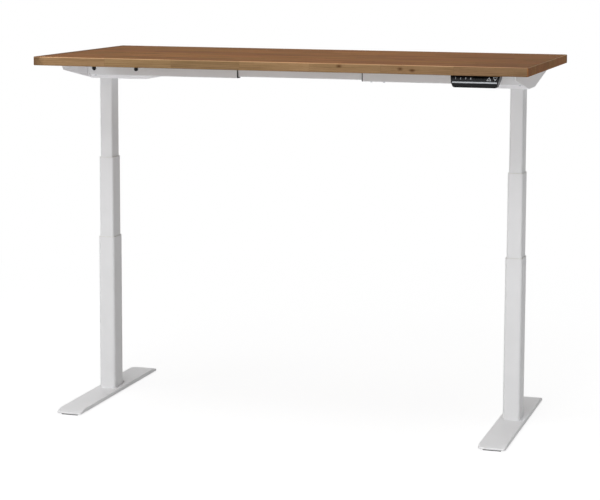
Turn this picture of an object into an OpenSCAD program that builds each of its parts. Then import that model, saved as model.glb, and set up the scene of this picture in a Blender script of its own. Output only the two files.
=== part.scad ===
// Height-adjustable desk: a glued wooden top on a two-legged lifting frame.
// Millimetres. The origin is on the floor under the middle of the desktop.
// +X runs along the desk to the right, +Y runs to its back edge and +Z is up.
// The legs stand drawn out as photographed, about three quarters of the way up.

/* [Desktop] */
// Length of the desktop
desk_w = 1524; // [1400:1:1800]
// Depth of the desktop from front to back
desk_d = 702; // [660:1:800]
// Thickness of the desktop
desk_t = 27; // [22:0.5:38]
// Height of the desktop's upper face as photographed
desk_z = 1120; // [1080:1:1180]
// Radius of the desktop's upright corners
desk_corner_r = 5; // [2:0.5:12]

/* [Legs] */
// Distance from the desktop's end to the middle of a leg
leg_inset = 93; // [80:1:140]
// How far the legs stand behind the middle of the desktop
leg_y = 18; // [-20:1:30]
// Width of the outer tube, along the desk
outer_w = 54; // [52:1:60]
// Depth of the outer tube, from front to back
outer_d = 70; // [66:1:90]
// Corner radius of the outer tube
outer_r = 8; // [6:0.5:10]
// Corner radius of the middle tube
mid_r = 7; // [5:0.5:9]
// Corner radius of the inner tube
inner_r = 6; // [4:0.5:8]
// Wall of each tube
tube_wall = 1.5; // [1.2:0.1:1.6]
// Room between two tubes, which the plastic glide fills
glide_gap = 1.5; // [1.3:0.1:1.6]
// Height of the outer tube's upper end above the floor
outer_top = 517; // [500:1:540]
// Height of the middle tube's upper end above the floor
mid_top = 777; // [760:1:800]
// Length of a glide inside its tube
glide_len = 45; // [30:1:60]
// Height of a glide's rim on the tube's end
glide_rim = 1.5; // [1:0.1:3]

/* [Travel] */
// How far the desk lowers from the photographed height
travel_down = 500; // [440:2:500]
// How far the desk rises from the photographed height
travel_up = 140; // [80:2:140]
// Room left between the stages with the desk right down
low_gap = 6; // [4:0.5:10]

/* [Feet] */
// Length of a foot from front to back
foot_len = 646; // [580:1:680]
// Width of a foot
foot_w = 82; // [80:1:110]
// Corner radius of a foot seen from above
foot_r = 10; // [4:0.5:16]
// Height of a foot without its pads
foot_h = 12; // [10:0.5:16]
// How far the middle of a foot lies behind the middle of the desktop
foot_y = -3; // [-30:1:20]
// Length of the slope at each end of a foot
foot_slope = 38; // [20:1:60]
// Height of a foot at its very ends
foot_nose = 5; // [3:0.5:7]
// Steel thickness of a foot
foot_wall = 3; // [2:0.5:4]
// Width of a rubber pad
pad_w = 55; // [40:1:70]
// Depth of a rubber pad from front to back
pad_d = 40; // [25:1:44]
// Thickness of a rubber pad
pad_t = 5; // [3:0.5:8]
// Distance of a pad from the foot's end
pad_inset = 8; // [2:0.5:12]

/* [Column foot] */
// Thickness of the plate welded under the outer tube
base_t = 5; // [4:0.5:8]
// Length of the wedge behind the outer tube
heel_len = 28; // [15:1:40]
// Height of the wedge behind the outer tube
heel_h = 16; // [8:1:30]
// Radius of a foot bolt's shank
foot_bolt_r = 4; // [3:0.5:5]
// Spacing of the foot bolts along the desk
foot_bolt_x = 32; // [30:1:36]
// Spacing of the foot bolts from front to back
foot_bolt_y = 46; // [44:1:52]

/* [Spindles] */
// Radius of the upper screw
upper_screw_r = 6; // [5:0.25:6]
// Radius of the lower, hollow screw
lower_screw_r = 10; // [9.5:0.25:10]
// Outer radius of the push tube on the foot
push_r = 14; // [13.5:0.25:14]
// Outer radius of the carrier tube in the middle stage
carrier_r = 17.5; // [17:0.25:17.5]
// Height of the upper end of the push tube's nut above the floor
base_nut_top = 392; // [370:1:395]
// Height of a nut on the push tube
base_nut_h = 38; // [30:1:45]
// Height of a nut on the carrier tube
carrier_nut_h = 34; // [25:1:40]
// Running clearance between a screw and its nut
run_gap = 0.06; // [0.03:0.01:0.09]

/* [Frame under the desktop] */
// Depth of the head of each leg below the desktop
head_drop = 57; // [54:0.5:64]
// Width of the head box from front to back
head_d = 116; // [104:1:130]
// Reach of the head box from the leg's middle inwards
head_reach = 177; // [165:1:200]
// Radius of the head box's rounded inner corner
head_corner_r = 28; // [15:1:34]
// Sheet thickness of the head box
head_wall = 2.5; // [2:0.25:3]
// Distance from the leg's middle to the outer face of the side arm
arm_out = 41; // [40:0.5:50]
// Sheet thickness of the side arm
arm_t = 3; // [2:0.25:4]
// Distance from the desktop's front edge to the front end of a side arm
arm_inset = 89; // [82:1:120]
// Width of a side arm's upper flange
arm_flange = 70; // [60:1:80]
// Depth of a side arm near its tip
arm_tip = 19; // [14:0.5:26]
// Length of a side arm's level lower edge
arm_level_len = 90; // [60:1:140]

/* [Rails] */
// Width of an outer rail from front to back
rail_d = 25; // [22:0.5:30]
// Height of an outer rail
rail_h = 42; // [38:0.5:46]
// Sheet thickness of the rails
rail_wall = 2; // [1.5:0.25:2.5]
// Room between an outer and an inner rail
rail_gap = 2.4; // [2:0.1:3]
// Distance from the desk's middle to the mouth of an outer rail
rail_mouth = 203; // [120:1:260]
// Length of the inner rail inside each outer rail
rail_overlap_len = 270; // [120:1:280]
// Thickness of the black liner's rim
liner_rim = 3; // [2:0.5:5]
// Length of the liner inside the outer rail
liner_len = 40; // [20:1:60]
// Radius of a black rail bolt's head
rail_bolt_head_r = 6.8; // [5:0.1:8]
// Spacing of the two bolts that hold a rail to the head
rail_bolt_space = 144; // [120:1:150]
// Distance of the outer rail bolt beyond the leg's middle
rail_bolt_out = 16; // [10:1:20]

/* [Control box] */
// Length of the control box along the desk
ctrl_w = 240; // [200:1:260]
// Depth of the control box from front to back
ctrl_d = 92; // [80:1:100]
// Height of the control box
ctrl_h = 38; // [34:0.5:40]
// Wall of the control box
ctrl_wall = 2; // [1.5:0.25:3]

/* [Keypad] */
// Distance from the desktop's right end to the keypad's middle
keypad_inset = 153.5; // [146:0.5:240]
// Width of the keypad at its upper edge
keypad_w = 143; // [138:1:160]
// Width that the keypad loses towards its lower edge, on each side
keypad_taper = 4.5; // [3:0.5:5]
// Height of the keypad
keypad_h = 34; // [32:0.5:40]
// Depth of the keypad from front to back
keypad_d = 48; // [46:1:80]
// Height of the sloping key panel
panel_h = 17; // [15:0.5:19]
// How far the key panel leans back
panel_lean = 10; // [6:0.5:12]
// Height of the silver strip under the key panel
strip_h = 4; // [3:0.25:5]
// Wall of the keypad's shell
keypad_wall = 2; // [1.5:0.25:2.5]
// Width of a memory key
memory_key_w = 12; // [10:0.25:13]
// Spacing of the memory keys
memory_key_space = 14.5; // [13.75:0.25:15]
// Width of an up or down key
arrow_key_w = 15; // [13:0.25:15.25]
// Spacing of the up and down keys
arrow_key_space = 17.5; // [17:0.25:19]
// Height of all keys along the panel
key_h = 13.5; // [11:0.25:14]
// Travel of a key
key_travel = 0.6; // [0.3:0.05:0.9]

/* [Screws] */
// Radius of a wood screw's shank
wood_screw_r = 2.5; // [2:0.25:3]
// Radius of a wood screw's head
wood_head_r = 4.8; // [4:0.1:6]
// Depth of a wood screw in the desktop
wood_screw_len = 18; // [12:1:19]

/* [Hidden] */

$fn = 48;
// A cut runs this far past the face it opens
eps = 1;
// Clearance of a piece that is pushed into its seat
seat_gap = 0.1;
// Clearance of a bolt or screw in its hole
bolt_gap = 0.15;
// Clearance of a glide round the tube that slides in it
slide_gap = 0.2;
// Clearance between the nested tubes of a spindle
nest_gap = 1;
// Axial play of the screw collar in its carrier
collar_gap = 0.3;

// Heights of the photographed position
under_z = desk_z - desk_t;
head_z = under_z - head_drop;
frame_top = under_z - arm_t;
foot_top = pad_t + foot_h;
base_top = foot_top + base_t;

// Cross-sections of the nested tubes
stage_step = 2 * (tube_wall + glide_gap);
mid_w = outer_w - stage_step;
mid_d = outer_d - stage_step;
inner_w = mid_w - stage_step;
inner_d = mid_d - stage_step;

// Lower ends of the moving stages
mid_bottom = base_top + low_gap + travel_down / 2;
carrier_plate_t = 8;
inner_bottom = mid_bottom + carrier_plate_t + low_gap + travel_down / 2;

// Heights of the spindle parts
base_nut_z = base_nut_top - base_nut_h;
lip_t = 3;
lip_z = base_nut_top + travel_down / 2 + low_gap / 2;
collar_t = 7;
carrier_top = lip_z + lip_t + collar_t + 2 * collar_gap;
screw_end_gap = 8;
upper_screw_bottom = carrier_top - travel_up / 2 - screw_end_gap;
lower_screw_bottom = mid_bottom + low_gap / 2;
lower_bore_r = upper_screw_r + nest_gap / 2;
push_bore_r = lower_screw_r + nest_gap;
carrier_bore_r = push_r + nest_gap;

// The drive in the head
gearbox_w = 56;
gearbox_d = 60;
gearbox_z = head_z + head_wall;
gearbox_room = 3;
gearbox_top = frame_top - gearbox_room;
gearbox_cover = 4;
motor_r = (gearbox_top - gearbox_z) / 2;

// The foot
leg_x = desk_w / 2 - leg_inset;
foot_front = foot_y - foot_len / 2;
foot_back = foot_y + foot_len / 2;
pad_margin = 4;
foot_solid = pad_inset + pad_d + pad_margin;
foot_block_rim = 4;
foot_block_w = outer_w + 2 * foot_block_rim;
foot_block_d = outer_d + 2 * foot_block_rim;
pad_r = 3;
heel_lip = 2;
foot_bolt_head_h = 5;
foot_bolt_head_rim = 2.6;
foot_bolt_head_r = foot_bolt_r + foot_bolt_head_rim;
foot_bolt_room = 0.5;

// The rails lie against the head box, one in front and one behind
rail_y = head_d / 2 + rail_d / 2;
rail_z = frame_top - rail_h / 2;
rail_end = leg_x + arm_out - arm_t - seat_gap;
rail_len = rail_end - rail_mouth;
inner_rail_d = rail_d - 2 * (rail_wall + rail_gap);
inner_rail_h = rail_h - 2 * (rail_wall + rail_gap);
inner_rail_w = 2 * (rail_mouth + rail_overlap_len);
rail_bolt_r = 4;
rail_bolt_head_h = 3.5;
rail_bolt_nut_h = 5;
set_screw_r = 3.5;
set_screw_stick = 2.5;
set_screw_space = 40;
set_screw_in = 24;
liner_screw_gap = 2;
arm_end_cut = 16;
arm_len = desk_d + 2 * (leg_y - arm_inset);
arm_screw_in = 24;
arm_screw_far = arm_len / 2 - arm_screw_in;
arm_screw_near = (arm_screw_far + rail_y + rail_d / 2) / 2;
arm_screw_y = [-arm_screw_far, -arm_screw_near, arm_screw_near, arm_screw_far];
arm_screw_x = 4;
wood_head_h = 3;

// The control box hangs between the two rails
ctrl_x = -20;
ctrl_y = leg_y;
ctrl_z = under_z - ctrl_h;
ctrl_r = 5;
ctrl_ear_t = 3;
ctrl_ear_w = 16;
ctrl_ear_d = 30;
inlet_w = 26;
inlet_h = 18;
inlet_depth = 14;
inlet_y = 22;
inlet_wall = 2;
inlet_pin_y = 5;
inlet_pin_r = 1.2;
inlet_pin_in = 2;
socket_w = 15;
socket_h = 10;
socket_depth = 9;
socket_y = [-30, -10, 10];

// The key panel is a slope from the desktop's underside down to the silver strip
keypad_x = desk_w / 2 - keypad_inset;
keypad_set_back = 1;
keypad_front = keypad_set_back - desk_d / 2;
panel_tilt = 90 - atan2(panel_lean, panel_h);
panel_len = sqrt(panel_h * panel_h + panel_lean * panel_lean);
panel_mid_y = keypad_front + panel_lean / 2;
panel_mid_z = under_z - panel_h / 2;
key_gap = 0.25;
key_t = 2.4;
key_proud = 0.4;
key_flange = 0.4;
key_flange_t = 0.8;
key_r = 1.5;
// The outer keys stand this far inside the keypad's upper corners
memory_key_side = 16;
arrow_key_side = 13;
memory_key_x = [for (i = [0:3]) -keypad_w / 2 + memory_key_side + i * memory_key_space];
arrow_key_x = [for (i = [-1, 0]) keypad_w / 2 - arrow_key_side + i * arrow_key_space];
display_w = 25;
display_t = 1.5;
display_x = (memory_key_x[3] + memory_key_w / 2 + arrow_key_x[0] - arrow_key_w / 2) / 2;
keypad_screw_x = 46;
keypad_screw_y = 16;
keypad_ear_t = 3;
keypad_post_wall = 3;
keypad_post_room = 0.4;

// The keypad's body behind and below the key panel
keypad_chin_h = 4;
keypad_chin_d = 3;
keypad_floor_d = 26;
keypad_back_h = 18;
keypad_r = 9;
// Direction in which each slanting side faces
keypad_side_w = keypad_taper + keypad_r;
keypad_side_h = keypad_h - keypad_r;
keypad_side_a = atan2(keypad_side_h, keypad_side_w)
    - acos(keypad_r / sqrt(keypad_side_w * keypad_side_w + keypad_side_h * keypad_side_h));
strip_seat = 1;
strip_margin = 3.3;
strip_w = keypad_w - 2 * strip_margin + 2 * (panel_h + strip_h) * tan(keypad_side_a);

// A rectangle with round corners
module rounded(w, d, r) {
    square([w - 2 * r, d], center = true);
    square([w, d - 2 * r], center = true);
    for (x = [-1, 1], y = [-1, 1])
        translate([x * (w / 2 - r), y * (d / 2 - r)]) circle(r);
}

// A rectangular tube with round corners between two heights
module section_tube(w, d, r, wall, z0, z1) {
    translate([0, 0, z0]) difference() {
        linear_extrude(z1 - z0) rounded(w, d, r);
        translate([0, 0, -eps]) linear_extrude(z1 - z0 + 2 * eps)
            rounded(w - 2 * wall, d - 2 * wall, r - wall);
    }
}

// A round tube between two heights
module round_tube(r_out, r_in, z0, z1) {
    translate([0, 0, z0]) difference() {
        cylinder(h = z1 - z0, r = r_out);
        translate([0, 0, -eps]) cylinder(h = z1 - z0 + 2 * eps, r = r_in);
    }
}

// Places a part at one leg: side is -1 for the left leg and 1 for the right.
// In the part's own frame +X points outwards and the leg's middle is the origin.
module at_leg(side) {
    translate([side * leg_x, leg_y, 0]) mirror([side < 0 ? 1 : 0, 0, 0]) children();
}

// The middles of the four bolts in one foot
module foot_bolt_places() {
    for (x = [-1, 1], y = [-1, 1])
        translate([x * foot_bolt_x / 2, y * foot_bolt_y / 2, 0]) children();
}

// The middles of the wood screws that hold one side arm
module arm_screw_places() {
    for (y = arm_screw_y) translate([arm_screw_x, y, 0]) children();
}

// The middles of the wood screws that hold the control box
module control_screw_places() {
    for (x = [-1, 1])
        translate([ctrl_x + x * (ctrl_w + ctrl_ear_w) / 2, ctrl_y, 0]) children();
}

// The middles of the wood screws that hold the keypad
module keypad_screw_places() {
    for (x = [-1, 1])
        translate([keypad_x + x * keypad_screw_x, keypad_front + keypad_d - keypad_screw_y, 0])
            children();
}

// Every wood screw stands at one of these places
module wood_screw_places(keypad_drop, arm_drop, control_drop) {
    for (side = [-1, 1]) at_leg(side) arm_screw_places()
        translate([0, 0, under_z - arm_drop]) children();
    control_screw_places() translate([0, 0, under_z - control_drop]) children();
    keypad_screw_places() translate([0, 0, under_z - keypad_drop]) children();
}

module desktop() {
    color("peru") difference() {
        translate([0, 0, under_z]) linear_extrude(desk_t) rounded(desk_w, desk_d, desk_corner_r);
        wood_screw_places(0, 0, 0) translate([0, 0, -eps])
            cylinder(h = wood_screw_len + eps + bolt_gap, r = wood_screw_r + bolt_gap);
    }
}

module desktop_screws() {
    color("dimgray") wood_screw_places(keypad_ear_t, arm_t, ctrl_ear_t) {
        translate([0, 0, -wood_head_h]) cylinder(h = wood_head_h, r = wood_head_r);
        cylinder(h = wood_screw_len, r = wood_screw_r);
    }
}

// The outline of a foot seen from its side, as points of depth and height
function foot_outline() = [
    [foot_front, pad_t],
    [foot_front, pad_t + foot_nose],
    [foot_front + foot_slope, foot_top],
    [foot_back - foot_slope, foot_top],
    [foot_back, pad_t + foot_nose],
    [foot_back, pad_t]
];

// Turns an outline of depth and height into a plate that is centred along X
module along_x(w) {
    translate([-w / 2, 0, 0]) rotate([90, 0, 90]) linear_extrude(w) children();
}

module foot(side) {
    color("gainsboro") translate([side * leg_x, 0, 0]) difference() {
        intersection() {
            along_x(foot_w) polygon(foot_outline());
            translate([0, foot_y, pad_t]) linear_extrude(foot_h) rounded(foot_w, foot_len, foot_r);
        }
        difference() {
            translate([-foot_w / 2 + foot_wall, foot_front + foot_solid, pad_t - eps])
                cube([foot_w - 2 * foot_wall, foot_len - 2 * foot_solid, foot_h - foot_wall + eps]);
            translate([-foot_block_w / 2, leg_y - foot_block_d / 2, 0])
                cube([foot_block_w, foot_block_d, foot_top]);
        }
        translate([0, leg_y, 0]) foot_bolt_places() {
            cylinder(h = foot_top + eps, r = foot_bolt_r + bolt_gap);
            cylinder(h = pad_t + foot_bolt_room + foot_bolt_head_h,
                r = foot_bolt_head_r + foot_bolt_room);
        }
    }
}

module pad(side, end) {
    y = end < 0 ? foot_front + pad_inset + pad_d / 2 : foot_back - pad_inset - pad_d / 2;
    color("black") translate([side * leg_x, y, 0]) linear_extrude(pad_t) rounded(pad_w, pad_d, pad_r);
}

module foot_bolts() {
    color("dimgray") for (side = [-1, 1]) at_leg(side) foot_bolt_places() {
        translate([0, 0, pad_t + foot_bolt_room])
            cylinder(h = foot_bolt_head_h, r = foot_bolt_head_r);
        translate([0, 0, pad_t + foot_bolt_room])
            cylinder(h = base_top - pad_t - foot_bolt_room, r = foot_bolt_r);
    }
}

// The lower, fixed stage: a tube welded to its plate, with a wedge behind it
module outer_tube(side) {
    color("whitesmoke") at_leg(side) {
        section_tube(outer_w, outer_d, outer_r, tube_wall, base_top, outer_top);
        difference() {
            union() {
                translate([0, 0, foot_top]) linear_extrude(base_t) rounded(outer_w, outer_d, outer_r);
                translate([0, outer_d / 2, 0]) along_x(outer_w - 2 * outer_r)
                    polygon([[-tube_wall, foot_top], [heel_len, foot_top],
                        [heel_len, foot_top + heel_lip], [0, foot_top + heel_h],
                        [-tube_wall, foot_top + heel_h]]);
            }
            foot_bolt_places() cylinder(h = base_top + eps, r = foot_bolt_r + bolt_gap);
        }
    }
}

// A plastic glide in the mouth of a tube, with a rim on the tube's end
module glide(w, d, r, in_w, in_d, in_r, z) {
    difference() {
        union() {
            translate([0, 0, z]) linear_extrude(glide_rim) rounded(w, d, r);
            translate([0, 0, z - glide_len]) linear_extrude(glide_len)
                rounded(w - 2 * tube_wall - 2 * seat_gap, d - 2 * tube_wall - 2 * seat_gap,
                    r - tube_wall - seat_gap);
        }
        translate([0, 0, z - glide_len - eps]) linear_extrude(glide_len + glide_rim + 2 * eps)
            rounded(in_w + 2 * slide_gap, in_d + 2 * slide_gap, in_r + slide_gap);
    }
}

module outer_glide(side) {
    color("white") at_leg(side)
        glide(outer_w, outer_d, outer_r, mid_w, mid_d, mid_r, outer_top);
}

module middle_glide(side) {
    color("white") at_leg(side)
        glide(mid_w, mid_d, mid_r, inner_w, inner_d, inner_r, mid_top);
}

// The tube that stands on the foot and holds the lower screw's nut
module push_tube(side) {
    color("silver") at_leg(side) round_tube(push_r, push_bore_r, base_top, base_nut_z);
}

module base_nut(side) {
    color("gold") at_leg(side)
        round_tube(push_r, lower_screw_r + run_gap, base_nut_z, base_nut_top);
}

module middle_tube(side) {
    color("whitesmoke") at_leg(side)
        section_tube(mid_w, mid_d, mid_r, tube_wall, mid_bottom, mid_top);
}

// The carrier stands on a plate in the middle tube's lower end and lifts the lower screw
module carrier_tube(side) {
    plate_w = mid_w - 2 * tube_wall - 2 * seat_gap;
    plate_d = mid_d - 2 * tube_wall - 2 * seat_gap;
    color("silver") at_leg(side) difference() {
        union() {
            translate([0, 0, mid_bottom]) linear_extrude(carrier_plate_t)
                rounded(plate_w, plate_d, mid_r - tube_wall - seat_gap);
            translate([0, 0, mid_bottom]) cylinder(h = carrier_top - mid_bottom, r = carrier_r);
        }
        translate([0, 0, mid_bottom - eps])
            cylinder(h = lip_z - mid_bottom + eps, r = carrier_bore_r);
        translate([0, 0, lip_z - eps]) cylinder(h = lip_t + 2 * eps, r = lower_screw_r + collar_gap);
        translate([0, 0, lip_z + lip_t])
            cylinder(h = carrier_top - lip_z - lip_t + eps, r = carrier_bore_r);
    }
}

module carrier_nut(side) {
    color("gold") at_leg(side) round_tube(carrier_r, upper_screw_r + run_gap,
        carrier_top, carrier_top + carrier_nut_h);
}

// The hollow lower screw turns in the base nut and hangs by its collar in the carrier
module lower_screw(side) {
    collar_z = lip_z + lip_t + collar_gap;
    color("lightsteelblue") at_leg(side) difference() {
        union() {
            translate([0, 0, lower_screw_bottom])
                cylinder(h = collar_z + collar_t - lower_screw_bottom, r = lower_screw_r);
            translate([0, 0, collar_z]) cylinder(h = collar_t, r = carrier_bore_r - collar_gap);
        }
        translate([0, 0, lower_screw_bottom - eps])
            cylinder(h = collar_z + collar_t - lower_screw_bottom + 2 * eps, r = lower_bore_r);
    }
}

module inner_tube(side) {
    color("whitesmoke") at_leg(side)
        section_tube(inner_w, inner_d, inner_r, tube_wall, inner_bottom, head_z);
}

// The upper screw hangs in the gearbox and turns in the carrier nut
module upper_screw(side) {
    top_z = gearbox_top - gearbox_cover - collar_gap;
    color("lightsteelblue") at_leg(side) translate([0, 0, upper_screw_bottom])
        cylinder(h = top_z - upper_screw_bottom, r = upper_screw_r);
}

module gearbox(side) {
    color("darkgray") at_leg(side) difference() {
        translate([-gearbox_w / 2, -gearbox_d / 2, gearbox_z])
            cube([gearbox_w, gearbox_d, gearbox_top - gearbox_z]);
        translate([0, 0, gearbox_z - eps])
            cylinder(h = gearbox_top - gearbox_cover - gearbox_z + eps, r = upper_screw_r + run_gap);
    }
}

module motor(side) {
    inner_end = -head_reach + head_corner_r;
    color("slategray") at_leg(side)
        translate([inner_end, 0, (gearbox_z + gearbox_top) / 2]) rotate([0, 90, 0])
            cylinder(h = -gearbox_w / 2 - inner_end, r = motor_r);
}

// The head box seen from the front: a plain outer end and a rounded inner lower corner
module head_outline(drop) {
    w = head_reach + arm_out - arm_t;
    r = head_corner_r - drop;
    translate([-head_reach + drop, head_z + head_corner_r])
        square([w - 2 * drop, frame_top - head_z - head_corner_r + eps * drop]);
    translate([-head_reach + head_corner_r, head_z + drop])
        square([w - head_corner_r - drop, head_corner_r]);
    translate([-head_reach + head_corner_r, head_z + head_corner_r]) circle(r);
}

// Turns an outline of width and height into a solid from front to back
module along_y(d) {
    translate([0, d / 2, 0]) rotate([90, 0, 0]) linear_extrude(d) children();
}

// The two bolts that hold a rail to the head, along Y
module rail_bolt_places() {
    for (x = [rail_bolt_out, rail_bolt_out - rail_bolt_space])
        translate([x, 0, rail_z]) children();
}

module head_box(side) {
    color("whitesmoke") at_leg(side) difference() {
        along_y(head_d) head_outline(0);
        along_y(head_d - 2 * head_wall) head_outline(head_wall);
        translate([0, 0, head_z - eps])
            cylinder(h = head_wall + 2 * eps, r = upper_screw_r + 2 * nest_gap);
        rail_bolt_places() rotate([90, 0, 0])
            cylinder(h = head_d + 2 * eps, r = rail_bolt_r + bolt_gap, center = true);
    }
}

// A pressed arm: a flange under the desktop and a tapering plate on its outer side
module side_arm(side) {
    half = arm_len / 2;
    color("whitesmoke") at_leg(side) difference() {
        union() {
            translate([arm_out - arm_t / 2, 0, 0]) along_x(arm_t) polygon([
                [-half, under_z], [-half, under_z - arm_t],
                [-half + arm_end_cut, under_z - arm_tip],
                [-arm_level_len / 2, head_z], [arm_level_len / 2, head_z],
                [half - arm_end_cut, under_z - arm_tip],
                [half, under_z - arm_t], [half, under_z]]);
            translate([arm_out - arm_flange, -half, frame_top])
                cube([arm_flange, arm_len, arm_t]);
        }
        arm_screw_places() translate([0, 0, frame_top - eps])
            cylinder(h = arm_t + 2 * eps, r = wood_screw_r + bolt_gap);
    }
}

// Places the screws under an outer rail: two near its mouth and one near its outer end.
// The right front rail and the left rear rail are the ones with the two near the mouth.
function set_screw_x(side, face) = concat(
    [leg_x + rail_bolt_out],
    side * face < 0 ? [rail_mouth + set_screw_in, rail_mouth + set_screw_in + set_screw_space] : []);

module outer_rail(side, face) {
    color("whitesmoke") translate([0, leg_y + face * rail_y, 0]) mirror([side < 0 ? 1 : 0, 0, 0])
        difference() {
            translate([rail_mouth, -rail_d / 2, frame_top - rail_h])
                cube([rail_len, rail_d, rail_h]);
            translate([rail_mouth - eps, -rail_d / 2 + rail_wall, frame_top - rail_h + rail_wall])
                cube([rail_len + 2 * eps, rail_d - 2 * rail_wall, rail_h - 2 * rail_wall]);
            translate([leg_x, 0, 0]) rail_bolt_places() rotate([90, 0, 0])
                cylinder(h = rail_d + 2 * eps, r = rail_bolt_r + bolt_gap, center = true);
            for (x = set_screw_x(side, face)) translate([x, 0, frame_top - rail_h - eps])
                cylinder(h = rail_wall + 2 * eps, r = set_screw_r + bolt_gap);
        }
}

module centre_rail(face) {
    color("whitesmoke") translate([0, leg_y + face * rail_y, rail_z]) difference() {
        cube([inner_rail_w, inner_rail_d, inner_rail_h], center = true);
        cube([inner_rail_w + 2 * eps, inner_rail_d - 2 * rail_wall, inner_rail_h - 2 * rail_wall],
            center = true);
    }
}

// A liner stops short of the set screws in its rail
function liner_free(side, face) = side * face < 0
    ? max(0, liner_len - set_screw_in + set_screw_r + liner_screw_gap) : 0;

// The black liners in the mouths of the four outer rails
module rail_liners() {
    color("black") for (side = [-1, 1], face = [-1, 1])
        translate([0, leg_y + face * rail_y, rail_z]) mirror([side < 0 ? 1 : 0, 0, 0])
            difference() {
                union() {
                    translate([rail_mouth - liner_rim, -rail_d / 2, -rail_h / 2])
                        cube([liner_rim, rail_d, rail_h]);
                    translate([rail_mouth - liner_rim, -rail_d / 2 + rail_wall + seat_gap,
                        -rail_h / 2 + rail_wall + seat_gap])
                        cube([liner_rim + liner_len - liner_free(side, face),
                            rail_d - 2 * rail_wall - 2 * seat_gap,
                            rail_h - 2 * rail_wall - 2 * seat_gap]);
                }
                translate([rail_mouth - liner_rim - eps, -inner_rail_d / 2 - seat_gap,
                    -inner_rail_h / 2 - seat_gap])
                    cube([liner_rim + liner_len + 2 * eps, inner_rail_d + 2 * seat_gap,
                        inner_rail_h + 2 * seat_gap]);
            }
}

module rail_bolts() {
    color("black") for (side = [-1, 1], face = [-1, 1]) at_leg(side) rail_bolt_places()
        mirror([0, face > 0 ? 1 : 0, 0]) {
            translate([0, -rail_y - rail_d / 2, 0]) rotate([90, 0, 0])
                cylinder(h = rail_bolt_head_h, r = rail_bolt_head_r);
            translate([0, -head_d / 2 + head_wall + rail_bolt_nut_h, 0]) rotate([90, 0, 0])
                cylinder(h = rail_d + head_wall + rail_bolt_nut_h, r = rail_bolt_r);
            translate([0, -head_d / 2 + head_wall + rail_bolt_nut_h, 0]) rotate([90, 0, 0])
                cylinder(h = rail_bolt_nut_h, r = rail_bolt_head_r);
        }
}

module rail_set_screws() {
    reach = rail_wall + rail_gap;
    color("dimgray") for (side = [-1, 1], face = [-1, 1])
        for (x = set_screw_x(side, face))
            translate([side * x, leg_y + face * rail_y, frame_top - rail_h - set_screw_stick])
                cylinder(h = set_screw_stick + reach, r = set_screw_r);
}

// The closed control box, with sockets for the two motors and the keypad at its left end
module control_box() {
    block_d = socket_y[2] - socket_y[0] + socket_w + 2 * ctrl_wall;
    color("dimgray") translate([ctrl_x, ctrl_y, ctrl_z]) difference() {
        union() {
            difference() {
                linear_extrude(ctrl_h) rounded(ctrl_w, ctrl_d, ctrl_r);
                translate([0, 0, ctrl_wall]) linear_extrude(ctrl_h - 2 * ctrl_wall)
                    rounded(ctrl_w - 2 * ctrl_wall, ctrl_d - 2 * ctrl_wall, ctrl_r - ctrl_wall);
            }
            translate([-ctrl_w / 2, socket_y[1] - block_d / 2, ctrl_wall / 2])
                cube([socket_depth + ctrl_wall, block_d, ctrl_h - ctrl_wall]);
            for (x = [-1, 1])
                translate([x * (ctrl_w + ctrl_ear_w - ctrl_wall / 2) / 2, 0, ctrl_h - ctrl_ear_t / 2])
                    cube([ctrl_ear_w + ctrl_wall / 2, ctrl_ear_d, ctrl_ear_t], center = true);
        }
        translate([ctrl_w / 2 - ctrl_wall - eps, inlet_y - inlet_w / 2, (ctrl_h - inlet_h) / 2])
            cube([ctrl_wall + 2 * eps, inlet_w, inlet_h]);
        for (y = socket_y)
            translate([-ctrl_w / 2 - eps, y - socket_w / 2, (ctrl_h - socket_h) / 2])
                cube([socket_depth + eps, socket_w, socket_h]);
        for (x = [-1, 1]) translate([x * (ctrl_w + ctrl_ear_w) / 2, 0, ctrl_h - ctrl_ear_t - eps])
            cylinder(h = ctrl_ear_t + 2 * eps, r = wood_screw_r + bolt_gap);
    }
}

// The socket for the mains lead, with two pins
module mains_inlet() {
    face_x = ctrl_x + ctrl_w / 2;
    color("black") translate([face_x - inlet_depth, ctrl_y + inlet_y, ctrl_z + ctrl_h / 2]) {
        difference() {
            translate([0, -inlet_w / 2 + seat_gap, -inlet_h / 2 + seat_gap])
                cube([inlet_depth, inlet_w - 2 * seat_gap, inlet_h - 2 * seat_gap]);
            translate([inlet_wall, -inlet_w / 2 + inlet_wall, -inlet_h / 2 + inlet_wall])
                cube([inlet_depth, inlet_w - 2 * inlet_wall, inlet_h - 2 * inlet_wall]);
        }
        for (y = [-1, 1]) translate([inlet_wall / 2, y * inlet_pin_y, 0]) rotate([0, 90, 0])
            cylinder(h = inlet_depth - inlet_wall / 2 - inlet_pin_in, r = inlet_pin_r);
    }
}

// The keypad seen from its end, as points of depth behind its front and height
function keypad_profile(drop) = [
    [panel_lean + drop, under_z],
    [drop, under_z - panel_h],
    [drop, under_z - keypad_h + keypad_chin_h],
    [keypad_chin_d + drop / 2, under_z - keypad_h + drop],
    [keypad_floor_d, under_z - keypad_h + drop],
    [keypad_d - drop, under_z - keypad_back_h + drop],
    [keypad_d - drop, under_z]
];

// The keypad seen from the front: slanting sides that run into round lower corners
module keypad_front_outline(drop) {
    corner_x = keypad_w / 2 - keypad_taper - keypad_r;
    corner_z = under_z - keypad_h + keypad_r;
    side_x = corner_x + (keypad_r - drop) * cos(keypad_side_a);
    side_z = corner_z + (keypad_r - drop) * sin(keypad_side_a);
    top_x = keypad_w / 2 - drop / cos(keypad_side_a);
    polygon([[-top_x, under_z], [-side_x, side_z], [-corner_x, corner_z - keypad_r + drop],
        [corner_x, corner_z - keypad_r + drop], [side_x, side_z], [top_x, under_z]]);
    for (x = [-1, 1]) translate([x * corner_x, corner_z]) circle(keypad_r - drop);
}

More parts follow.
